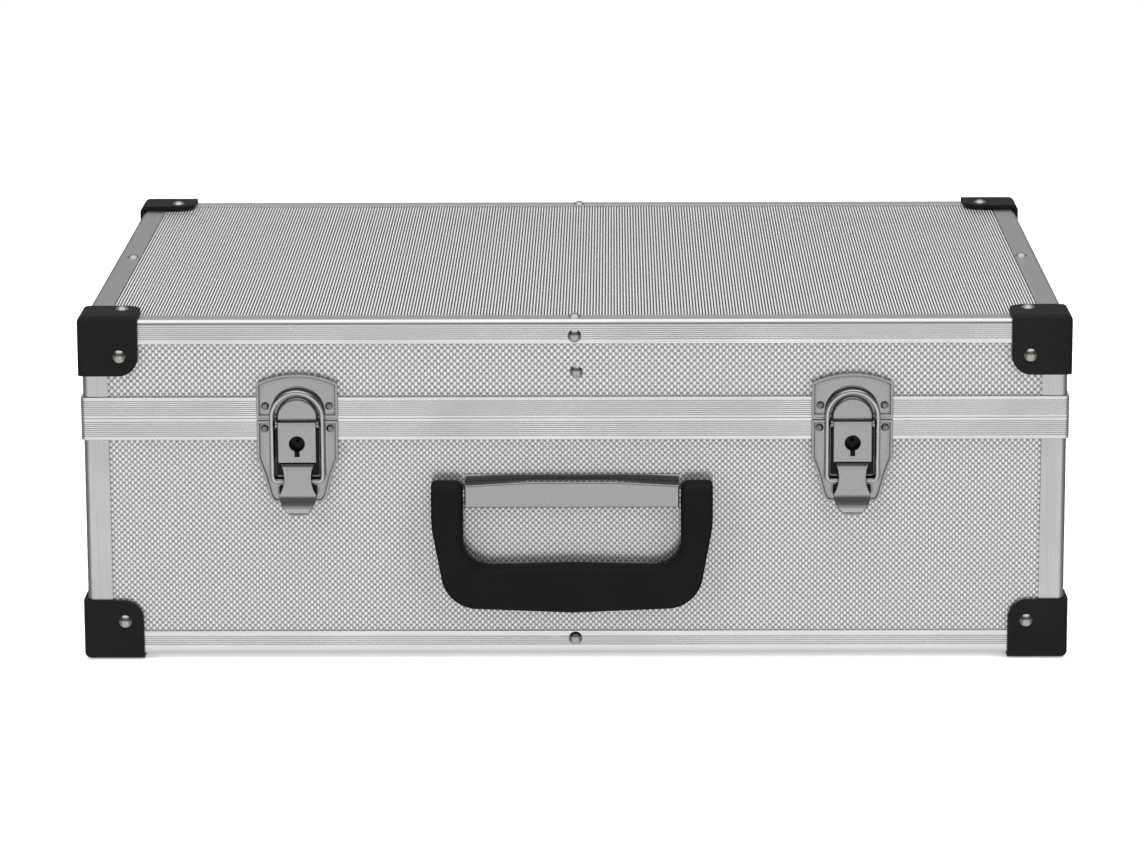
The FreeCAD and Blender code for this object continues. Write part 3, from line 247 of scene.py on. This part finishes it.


# One aluminium in three copies: the strips along x are painted lighter as painted light, those along y and
# the corner posts darker as painted shade.
strip_x_lit = brushed("strip_along_x", "x", (0.985, 0.987, 0.99))
strip_y_shaded = brushed("strip_along_y", "y", (0.78, 0.785, 0.79))
strip_z_shaded = brushed("strip_along_z", "z", (0.685, 0.69, 0.695))
# tone stops by crown height: painted shade in the hollows, painted highlight on the crowns
foil = embossed("foil_pearls", 0.24, 0.75, (0.0, 0.065), (0.14, 0.35), (0.40, 0.54), (0.70, 0.81))
foil_ribs = embossed("foil_ribs", 0.26, 0.5, (0.30, 0.01), (0.60, 0.045), (0.78, 0.59), (0.94, 0.91))
chrome = sheet_metal("chrome", (0.44, 0.445, 0.455), 0.05, 0.05 * MM, edge=0.6 * MM, crevice_shade=2.2 * MM)
# the same chrome as the plates, painted lighter on the bails as painted highlight
lit_wire = sheet_metal("chromed_wire", (0.66, 0.665, 0.68), 0.05, 0.05 * MM, edge=0.6 * MM, crevice_shade=2.2 * MM)
nickel = sheet_metal("nickel_heads", (0.60, 0.58, 0.52), 0.10, 0.02 * MM, tint=(0.44, 0.41, 0.34))
latch_studs = sheet_metal("latch_stud_heads", (0.30, 0.28, 0.24), 0.20, 0.02 * MM, tint=(0.16, 0.14, 0.11))
steel = sheet_metal("plain_steel", (0.50, 0.50, 0.50), 0.28, 0.02 * MM, edge=0.2 * MM)
# near black lock: painted shade in the gaps beside the lever
lock_shade_black = sheet_metal("lock_steel", (0.02, 0.02, 0.02), 0.30, 0.02 * MM, edge=0.2 * MM)
plastic = moulded("guard_plastic", (0.0055, 0.0055, 0.006), 0.46, 2600.0, 0.06 * MM, edge=0.4 * MM)
grip_skin = moulded("grip_plastic", (0.004, 0.004, 0.0042), 0.50, 1900.0, 0.1 * MM)
velour = cloth("velour", (0.018, 0.018, 0.021), 0.35)
flock = cloth("flocked_foam", (0.022, 0.022, 0.025), 0.45)
foam = open_foam("foam", (0.055, 0.056, 0.060))


# ------------------------------------------------------------------ meshes
def paint(obj, *materials):
    obj.data.materials.clear()
    for material in materials:
        obj.data.materials.append(material)


def mark_crowns(mesh, axis, face, rise):
    """Stores on each point how far it stands above the face, from 0 to 1, for the facing's painted highlight
    and shade.
    """
    places = np.zeros(len(mesh.vertices) * 3)
    mesh.vertices.foreach_get("co", places)
    share = np.clip((places.reshape(-1, 3)[:, axis] - face) / rise, 0, 1)
    mesh.attributes.new("crown", "FLOAT", "POINT").data.foreach_set("value", share.astype(np.float32))


def finished(name, mesh, body, material, smooth):
    """A closed mesh, its faces turned outward, as an object that rides on a body.

    smooth is the angle in degrees under which faces blend.
    """
    mesh.validate()
    mesh.update()
    solid = bmesh.new()
    solid.from_mesh(mesh)
    bmesh.ops.recalc_face_normals(solid, faces=solid.faces)
    solid.to_mesh(mesh)
    solid.free()
    obj = bpy.data.objects.new(name, mesh)
    scene.collection.objects.link(obj)
    mesh.shade_smooth()
    mesh.set_sharp_from_angle(angle=math.radians(smooth))
    paint(obj, material)
    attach(obj, body)
    return obj


def piece(name, points, faces, body, material, smooth=60):
    """A closed piece from its points and faces."""
    mesh = bpy.data.meshes.new(name)
    mesh.from_pydata([tuple(p) for p in points], [], [tuple(f) for f in faces])
    return finished(name, mesh, body, material, smooth)


# ------------------------------------------------------------------ embossed panels
# half pitch of the staggered pearls, along and across their rows
PEARL_PITCH = {"lid": (1.50 * MM, 1.55 * MM), "base": (1.40 * MM, 1.40 * MM)}
PEARL_RISE = 0.40 * MM
PEARL_SADDLE = 0.16  # height of the saddle between two pearls, as a share of the rise


def pearl_panel(node, across, outward, body):
    """Board with staggered pearls on its outer face, which runs along X where across is 0, or Y where 1."""
    low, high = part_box(node)
    depth_axis = 1 - across
    face = high[depth_axis] if outward > 0 else low[depth_axis]
    back = low[depth_axis] if outward > 0 else high[depth_axis]
    u0, u1, v0, v1 = low[across], high[across], low.z, high.z
    middle = (u0 + u1) / 2
    half_x, half_z = (pitch / 2 for pitch in PEARL_PITCH[body])
    reach = int((u1 - u0) / half_x + (v1 - v0) / half_z) // 2 + 4
    a, b = np.meshgrid(np.arange(-reach, reach + 1), np.arange(-reach, reach + 1), indexing="ij")
    u = middle + (a - b) * half_x
    v = v0 + (a + b) * half_z
    inside = (u > u0) & (u < u1) & (v > v0) & (v < v1)
    kind = (a % 2) + (b % 2)
    rise = np.select([kind == 0, kind == 1], [1.0, PEARL_SADDLE], 0.0) * PEARL_RISE
    keep = inside[:-1, :-1] | inside[1:, :-1] | inside[1:, 1:] | inside[:-1, 1:]
    i, j = np.nonzero(keep)
    side = a.shape[1]
    quads = np.stack([i * side + j, (i + 1) * side + j, (i + 1) * side + j + 1, i * side + j + 1], 1)
    used, quads = np.unique(quads, return_inverse=True)
    quads = quads.reshape(-1, 4)
    u, v = np.clip(u.ravel()[used], u0, u1), np.clip(v.ravel()[used], v0, v1)
    on_rim = (u <= u0) | (u >= u1) | (v <= v0) | (v >= v1)
    height = np.where(on_rim, 0, rise.ravel()[used])
    points = np.zeros((len(u), 3))
    points[:, across], points[:, 2] = u, v
    points[:, depth_axis] = face + outward * height
    mesh = bpy.data.meshes.new(node + "_facing")
    mesh.from_pydata(points.tolist(), [], quads.tolist())
    board = bmesh.new()
    board.from_mesh(mesh)
    bmesh.ops.remove_doubles(board, verts=board.verts, dist=1e-7)
    bmesh.ops.dissolve_degenerate(board, edges=board.edges, dist=1e-7)
    rim = [e for e in board.edges if e.is_boundary]
    walls = bmesh.ops.extrude_edge_only(board, edges=rim)["geom"]
    for vertex in (g for g in walls if isinstance(g, bmesh.types.BMVert)):
        vertex.co[depth_axis] = back
    bmesh.ops.holes_fill(board, edges=[e for e in board.edges if e.is_boundary])
    board.to_mesh(mesh)
    board.free()
    made = finished(node + "_facing", mesh, body, foil, 55)
    mark_crowns(mesh, depth_axis, face, outward * PEARL_RISE)
    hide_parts(node)


for half in ("lid", "base"):
    pearl_panel(half + "_front_panel", 0, -1, half)
    pearl_panel(half + "_back_panel", 0, 1, half)
    pearl_panel(half + "_left_panel", 1, -1, half)
    pearl_panel(half + "_right_panel", 1, 1, half)


RIB_PITCH, RIB_RISE = 1.416 * MM, 0.36 * MM
# one rib, as shares of its pitch and rise
RIB_PROFILE = [(0.0, 0.0), (0.10, 0.30), (0.24, 0.78), (0.40, 1.0), (0.58, 1.0), (0.74, 0.78), (0.88, 0.30)]


def ribbed_panel(node, outward, body):
    """Board whose outer face has straight ribs from front to back."""
    low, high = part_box(node)
    face, back = (high.z, low.z) if outward > 0 else (low.z, high.z)
    count = int((high.x - low.x) / RIB_PITCH)
    start = (low.x + high.x - count * RIB_PITCH) / 2
    outline = [(low.x, face)]
    for n in range(count):
        outline += [(start + (n + x) * RIB_PITCH, face + outward * z * RIB_RISE) for x, z in RIB_PROFILE]
    outline += [(high.x, face), (high.x, back), (low.x, back)]
    size = len(outline)
    points = [(x, y, z) for y in (low.y, high.y) for x, z in outline]
    faces = [(k, (k + 1) % size, (k + 1) % size + size, k + size) for k in range(size)]
    faces += [range(size)[::-1], range(size, 2 * size)]
    made = piece(node + "_facing", points, faces, body, foil_ribs, 50)
    mark_crowns(made.data, 2, face, outward * RIB_RISE)
    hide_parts(node)


ribbed_panel("lid_top_panel", 1, "lid")
ribbed_panel("base_bottom_panel", -1, "base")


# ------------------------------------------------------------------ hard parts kept as they are
KEPT = {
    strip_x_lit: ["lid_front_edge", "lid_back_edge", "base_front_edge", "base_back_edge", "lid_rim", "base_rim"],
    strip_y_shaded: ["lid_left_edge", "lid_right_edge", "base_left_edge", "base_right_edge"],
    strip_z_shaded: ["lid_corner_posts", "base_corner_posts"],
    plastic: ["lid_corner_guards", "base_corner_guards"],
    grip_skin: ["handle_grip"],
    nickel: ["lid_rivets", "base_rivets", "lid_hinge_rivets", "base_hinge_rivets"],
    latch_studs: ["left_strike_rivets", "right_strike_rivets", "left_plate_rivets", "right_plate_rivets"],
    chrome: ["left_strike_plate", "right_strike_plate", "left_latch_plate", "right_latch_plate",
             "left_latch_lever", "right_latch_lever", "handle_bracket"],
    lit_wire: ["left_latch_bail", "right_latch_bail"],
    steel: ["left_lever_pin", "right_lever_pin", "handle_rod", "hinge_pins", "lid_hinge_leaves",
            "base_hinge_leaves"],
    lock_shade_black: ["left_latch_lock", "right_latch_lock"],
}
for material, names in KEPT.items():
    for name in names:
        paint(nodes[name], material)


# ------------------------------------------------------------------ soft parts, inside
# lip and foot of a foam wall: distance inside the wall's face in mm, and share of the drop reached there
WALL_RUN = [(-1.6, 0.0), (-1.1, 0.006), (-0.6, 0.02), (-0.2, 0.045), (0.0, 0.08), (0.5, 0.92), (0.8, 0.96),
            (1.4, 0.985), (2.4, 1.0)]
WALL_STEPS = np.array([step for step, _ in WALL_RUN]) * MM
WALL_SHARES = np.array([share for _, share in WALL_RUN])
CHIP_RADIUS, ROW_PITCH, ROWS = 20.5 * MM, 42 * MM, 5
WELL_WALL, CARD_WELL, WELL_WIDTH, WELL_DEPTH, WELL_DIVIDER = 4.5 * MM, 100 * MM, 72 * MM, 34 * MM, 6 * MM
MERGE_GAP = 0.01 * MM  # grid lines nearer than this are one


def lines_between(low, high, widest, walls=(), extra=()):
    """Grid lines from low to high: close together at each wall, elsewhere no further apart than widest."""
    fixed = [low, high, *extra]
    for place, inward in walls:
        fixed += [place + inward * step for step in WALL_STEPS]
    fixed = sorted(v for v in fixed if low <= v <= high)
    lines = [fixed[0]]
    for value in fixed[1:]:
        gap = value - lines[-1]
        if gap < MERGE_GAP:
            continue
        parts = max(1, math.ceil(gap / widest))
        lines += [lines[-1] + gap * (n + 1) / parts for n in range(parts)]
    return np.array(lines)


def both_rims(low, high, insets):
    """Grid lines at those insets from both ends."""
    return [low + inset for inset in insets] + [high - inset for inset in insets]


def relief_block(name, xs, ys, height, flat, material, body, waist=0.0):
    """Closed soft block: height gives its shaped face over the grid, flat is the level of its plain one.

    Its sides draw in by waist half-way between the two.
    """
    x, y = np.meshgrid(xs, ys, indexing="ij")
    index = np.arange(x.size).reshape(x.shape)
    points = [np.stack([x, y, height(x, y)], -1).reshape(-1, 3)]
    quads = np.stack([index[:-1, :-1], index[1:, :-1], index[1:, 1:], index[:-1, 1:]], -1).reshape(-1, 4)
    faces = quads.tolist()
    loop = np.concatenate([index[:-1, 0], index[-1, :-1], index[:0:-1, -1], index[0, :0:-1]])
    rim, count, last = points[0][loop], len(loop), loop
    for share in (0.08, 0.25, 0.5, 0.75, 0.92, 1.0):
        inset = waist * math.sin(math.pi * share)
        ring = rim.copy()
        ring[:, 0] = np.clip(rim[:, 0], xs[0] + inset, xs[-1] - inset)
        ring[:, 1] = np.clip(rim[:, 1], ys[0] + inset, ys[-1] - inset)
        ring[:, 2] = rim[:, 2] + (flat - rim[:, 2]) * share
        here = np.arange(count) + sum(len(p) for p in points)
        points.append(ring)
        faces += np.stack([last, np.roll(last, -1), np.roll(here, -1), here], 1).tolist()
        last = here
    faces.append(last.tolist())
    return piece(name, np.concatenate(points), faces, body, material)


def pocket(x, y, x0, x1, y0, y1):
    """0 outside a pocket's walls and 1 on its floor, with a soft lip and foot."""
    def share(distance):
        return np.interp(distance, WALL_STEPS, WALL_SHARES)
    return share(np.minimum(x - x0, x1 - x)) * share(np.minimum(y - y0, y1 - y))


def chip_tray():
    """Flocked foam tray: three wells in front, and behind them two banks of half-round rows."""
    low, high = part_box("tray_wells")
    top, back = high.z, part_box("tray_frame")[1].y
    banks = []
    for side in ("left", "right"):
        first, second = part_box(side + "_chip_bank")
        banks.append((first.x, second.x, first.y, second.y))
    well_y = (low.y + WELL_WALL, low.y + WELL_WALL + WELL_WIDTH)
    outer = high.x - WELL_WALL
    inner = outer - CARD_WELL
    wells = [(-outer, -inner), (-inner + WELL_DIVIDER, inner - WELL_DIVIDER), (inner, outer)]
    row_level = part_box("left_chip_bank")[1].z
    bank_low = banks[0][2]

    def height(x, y):
        off = (y - bank_low) % ROW_PITCH - ROW_PITCH / 2
        bed = row_level - np.sqrt(np.clip(CHIP_RADIUS ** 2 - off ** 2, (4 * MM) ** 2, None))
        drop = sum(pocket(x, y, *bank) for bank in banks) * (top - bed)
        drop += sum(pocket(x, y, x0, x1, *well_y) for x0, x1 in wells) * WELL_DEPTH
        edge = np.minimum(np.minimum(x - low.x, high.x - x), np.minimum(y - low.y, back - y))
        lip = 1.5 * MM
        rounding = lip - np.sqrt(lip ** 2 - np.clip(lip - edge, 0, lip) ** 2)
        return top - drop - rounding

    walls_x = [(x0, 1) for x0, *_ in banks + wells] + [(x1, -1) for _, x1, *_ in banks + wells]
    walls_y = [(well_y[0], 1), (well_y[1], -1), (bank_low, 1), (banks[0][3], -1)]
    bends = [math.sin(math.radians(turn)) * CHIP_RADIUS for turn in range(-78, 79, 12)]
    bends.append(ROW_PITCH / 2)
    rows = [bank_low + (n + 0.5) * ROW_PITCH + bend for n in range(ROWS) for bend in bends]
    insets = [0.1 * MM, 0.4 * MM, 0.8 * MM, 1.5 * MM]
    xs = lines_between(low.x, high.x, 7 * MM, walls_x, both_rims(low.x, high.x, insets))
    ys = lines_between(low.y, back, 4 * MM, walls_y, rows + both_rims(low.y, back, insets))
    tray = relief_block("chip_tray_foam", xs, ys, height, low.z, flock, "base")
    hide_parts("tray_wells", "tray_frame", "left_chip_bank", "right_chip_bank")


EGG_PITCH, EGG_DEPTH = 25 * MM, 13 * MM


def egg_crate_pad():
    """Convoluted foam in the lid, its peaks down on the chips."""
    low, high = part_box("lid_foam_pad")

    def height(x, y):
        waves = np.cos(2 * np.pi * x / EGG_PITCH) * np.cos(2 * np.pi * (y - low.y) / EGG_PITCH)
        edge = np.minimum(np.minimum(x - low.x, high.x - x), np.minimum(y - low.y, high.y - y))
        fade = np.clip(edge / (7 * MM), 0, 1) ** 0.5
        return low.z + EGG_DEPTH * (1 - fade * (0.5 + 0.5 * waves))

    step = EGG_PITCH / 9
    insets = [0.3 * MM, 1.0 * MM]
    xs = lines_between(low.x, high.x, step, extra=both_rims(low.x, high.x, insets))
    ys = lines_between(low.y, high.y, step, extra=both_rims(low.y, high.y, insets))
    pad = relief_block("lid_egg_crate", xs, ys, height, high.z, foam, "lid", waist=1.5 * MM)
    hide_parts("lid_foam_pad")


egg_crate_pad()
chip_tray()


def ring(low, high, radius, z, bow=0.0):
    """Rounded rectangle at height z, as points; its straight sides are drawn in by up to bow."""
    points = []
    corners = ((high.x, high.y, 0), (low.x, high.y, 90), (low.x, low.y, 180), (high.x, low.y, 270))
    for n, (cx, cy, start) in enumerate(corners):
        inward = (1 if cx < high.x else -1, 1 if cy < high.y else -1)
        centre = (cx + inward[0] * radius, cy + inward[1] * radius)
        arc = [(centre[0] + radius * math.cos(math.radians(start + turn)),
                centre[1] + radius * math.sin(math.radians(start + turn))) for turn in range(0, 91, 18)]
        points += arc
        ahead = corners[(n + 1) % 4]
        turned = math.radians(start + 90)
        step_in = (1 if ahead[0] < high.x else -1, 1 if ahead[1] < high.y else -1)
        goal = (ahead[0] + step_in[0] * radius + radius * math.cos(turned),
                ahead[1] + step_in[1] * radius + radius * math.sin(turned))
        for k in range(1, 16):
            share = k / 16
            draw = -bow * math.sin(math.pi * share)
            points.append((arc[-1][0] + (goal[0] - arc[-1][0]) * share + draw * math.cos(turned),
                           arc[-1][1] + (goal[1] - arc[-1][1]) * share + draw * math.sin(turned)))
    return [(x, y, z) for x, y in points]


def ringed(name, rings, body, material):
    """Closed piece through a list of rings of equal count, its two ends flat."""
    count = len(rings[0])
    points = [p for r in rings for p in r]
    faces = [tuple(range(count))]
    for n in range(len(rings) - 1):
        a, b = n * count, (n + 1) * count
        faces += [(a + k, a + (k + 1) % count, b + (k + 1) % count, b + k) for k in range(count)]
    faces.append(tuple(range((len(rings) - 1) * count, len(rings) * count)))
    return piece(name, points, faces, body, material)


def grown(low, high, by):
    """A box grown by that much in x and y."""
    step = Vector((by, by, 0))
    return low - step, high + step


LINING_THICK, LINING_FOLD, LINING_CORNER, LINING_BOW = 1.4 * MM, 9 * MM, 12 * MM, 0.5 * MM


def lining(half, opening):
    """Velour drawn tight over the inside of one half, one sheet over floor and walls with soft corners."""
    low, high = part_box(half + "_lining")
    floor_z, rim_z = (low.z, high.z) if opening > 0 else (high.z, low.z)

    def skin(thick):
        fold = LINING_FOLD - thick
        start = floor_z + opening * LINING_FOLD
        rings = []
        for turn in range(0, 91, 15):
            across, up = math.sin(math.radians(turn)), math.cos(math.radians(turn))
            inset = thick + fold * (1 - across)
            level = start - opening * fold * up
            rings.append(ring(*grown(low, high, -inset), LINING_CORNER - thick, level))
        for share in (0.2, 0.4, 0.6, 0.8, 1.0):
            level = start + (rim_z - start) * share
            bow = LINING_BOW * math.sin(math.pi * share)
            rings.append(ring(*grown(low, high, -thick), LINING_CORNER - thick, level, bow))
        return rings

    made = ringed(half + "_velour_lining", skin(0) + skin(LINING_THICK)[::-1], half, velour)
    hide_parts(half + "_lining")


lining("base", 1)
lining("lid", -1)


def tray_rails():
    """Two foam rails, softly rounded, that carry the chip tray."""
    low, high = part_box("tray_rails")
    wide, soft = 10 * MM, 3 * MM
    for side, x0 in (("left", low.x), ("right", high.x - wide)):
        first, second = Vector((x0, low.y, low.z)), Vector((x0 + wide, high.y, high.z))
        rings = []
        for turn in range(0, 91, 18):
            draw = soft * (1 - math.sin(math.radians(turn)))
            z = first.z + soft * (1 - math.cos(math.radians(turn)))
            rings.append(ring(*grown(first, second, -draw), soft - draw * 0.5, z))
        for share in (0.25, 0.5, 0.75):
            z = first.z + soft + (second.z - first.z - 2 * soft) * share
            rings.append(ring(first, second, soft, z, bow=0.8 * MM * math.sin(math.pi * share)))
        rings += [[(x, y, first.z + second.z - z) for x, y, z in r] for r in rings[5::-1]]
        rail = ringed("tray_rail_" + side, rings, "base", flock)
    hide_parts("tray_rails")


tray_rails()


# ------------------------------------------------------------------ stage and light
def stage_plane(half, level):
    """Square floor of that half width, at that level."""
    mesh = bpy.data.meshes.new("floor")
    corners = [(x * half, y * half, level) for x, y in ((-1, -1), (1, -1), (1, 1), (-1, 1))]
    mesh.from_pydata(corners, [], [(0, 1, 2, 3)])
    obj = bpy.data.objects.new("floor", mesh)
    scene.collection.objects.link(obj)
    return obj


floor_finish = Finish("floor", Roughness=0.9, Specular_IOR_Level=0.1, Emission_Strength=0.35)
floor_finish.shader.inputs["Emission Color"].default_value = (1, 1, 1, 1)
floor_tone = floor_finish.ramp(floor_finish.noise((3, 3, 3)), (0.3, 0.93), (0.7, 0.95))
floor_finish.drive("Base Color", floor_tone)
floor = stage_plane(7, -0.6 * MM)
floor.visible_glossy = False
paint(floor, floor_finish.material)


def soft_light(name, size, at, toward, power):
    """Rectangular lamp. Shiny parts don't mirror it, but show the sky in its place."""
    lamp = bpy.data.lights.new(name, "AREA")
    lamp.shape = "RECTANGLE"
    lamp.size, lamp.size_y = size
    lamp.energy = power
    obj = bpy.data.objects.new(name, lamp)
    obj.location = at
    obj.rotation_mode = "QUATERNION"
    obj.rotation_quaternion = (Vector(toward) - Vector(at)).to_track_quat("-Z", "Y")
    obj.visible_glossy = False
    scene.collection.objects.link(obj)
    return obj


soft_light("top_box", (2.4, 1.2), (0, -0.6, 2.1), (0, 0, 0.1), 60)
soft_light("left_box", (1.0, 1.2), (-1.6, -1.6, 0.9), (0, 0, 0.08), 30)
soft_light("right_box", (1.0, 1.2), (1.6, -1.6, 0.9), (0, 0, 0.08), 30)


class Sky:
    """World light by direction: bright ceiling, dark belt above eye level, pale floor, dark flags beside."""

    def __init__(self, strength):
        world = bpy.data.worlds.new("studio")
        scene.world = world
        world.use_nodes = True
        self.tree = world.node_tree
        direction = self.add("TexCoord").outputs["Generated"]
        split = self.add("SeparateXYZ", direction)
        height = self.from_minus_one(split.outputs["Z"])
        depth = self.from_minus_one(split.outputs["Y"])
        ahead = self.ramp(height, (-1, 0.50), (-0.5, 0.61), (-0.25, 0.68), (-0.08, 0.66), (0.10, 0.40),
                          (0.25, 0.14), (0.60, 0.12), (0.76, 0.35), (0.88, 0.76), (1, 0.85))
        behind = self.ramp(height, (-1, 0.42), (-0.30, 0.52), (-0.20, 0.06), (0.0, 0.07), (0.14, 0.26),
                           (0.25, 0.33), (0.50, 0.22), (0.85, 0.50), (0.92, 0.90), (1, 0.95))
        across = self.from_minus_one(split.outputs["X"])
        flags = self.ramp(across, (-0.85, 0.30), (-0.45, 1.0), (0.45, 1.0), (0.85, 0.30))
        rear = self.ramp(depth, (-0.1, 0.0), (0.5, 1.0))
        light = self.mixed("MULTIPLY", 1.0, self.mixed("MIX", rear, ahead, behind), flags)
        seen = self.add("Background")
        seen.inputs["Strength"].default_value = 1.1
        lit = self.tree.nodes["Background"]
        lit.inputs["Strength"].default_value = strength
        self.tree.links.new(light, lit.inputs["Color"])
        chosen = self.add("MixShader", self.add("LightPath").outputs["Is Camera Ray"])
        self.tree.links.new(lit.outputs[0], chosen.inputs[1])
        self.tree.links.new(seen.outputs[0], chosen.inputs[2])
        self.tree.links.new(chosen.outputs[0], self.tree.nodes["World Output"].inputs["Surface"])

    def add(self, kind, source=None, **settings):
        made = self.tree.nodes.new("ShaderNode" + kind)
        for setting, value in settings.items():
            setattr(made, setting, value)
        if source is not None:
            self.tree.links.new(source, made.inputs[0])
        return made

    def from_minus_one(self, value):
        """A direction's part, from -1 to 1, as 0 to 1."""
        made = self.add("MapRange", value)
        made.inputs["From Min"].default_value = -1.0
        return made.outputs["Result"]

    def mixed(self, kind, share, one, other):
        """Light from one to the other by share, a number or an output."""
        made = self.add("Mix", data_type="RGBA", blend_type=kind)
        sockets = {socket.name: socket for socket in made.inputs if socket.enabled}
        if isinstance(share, float):
            sockets["Factor"].default_value = share
        else:
            self.tree.links.new(share, sockets["Factor"])
        self.tree.links.new(one, sockets["A"])
        self.tree.links.new(other, sockets["B"])
        return next(o for o in made.outputs if o.enabled)

    def ramp(self, value, *stops):
        """Grey by value: stops are given from -1 to 1 and stored from 0 to 1."""
        made = self.add("ValToRGB", value)
        elements = made.color_ramp.elements
        while len(elements) < len(stops):
            elements.new(0.5)
        for element, (position, grey) in zip(elements, stops):
            element.position = (position + 1) / 2
            element.color = (grey, grey, grey, 1)
        return made.outputs["Color"]


Sky(1.25)
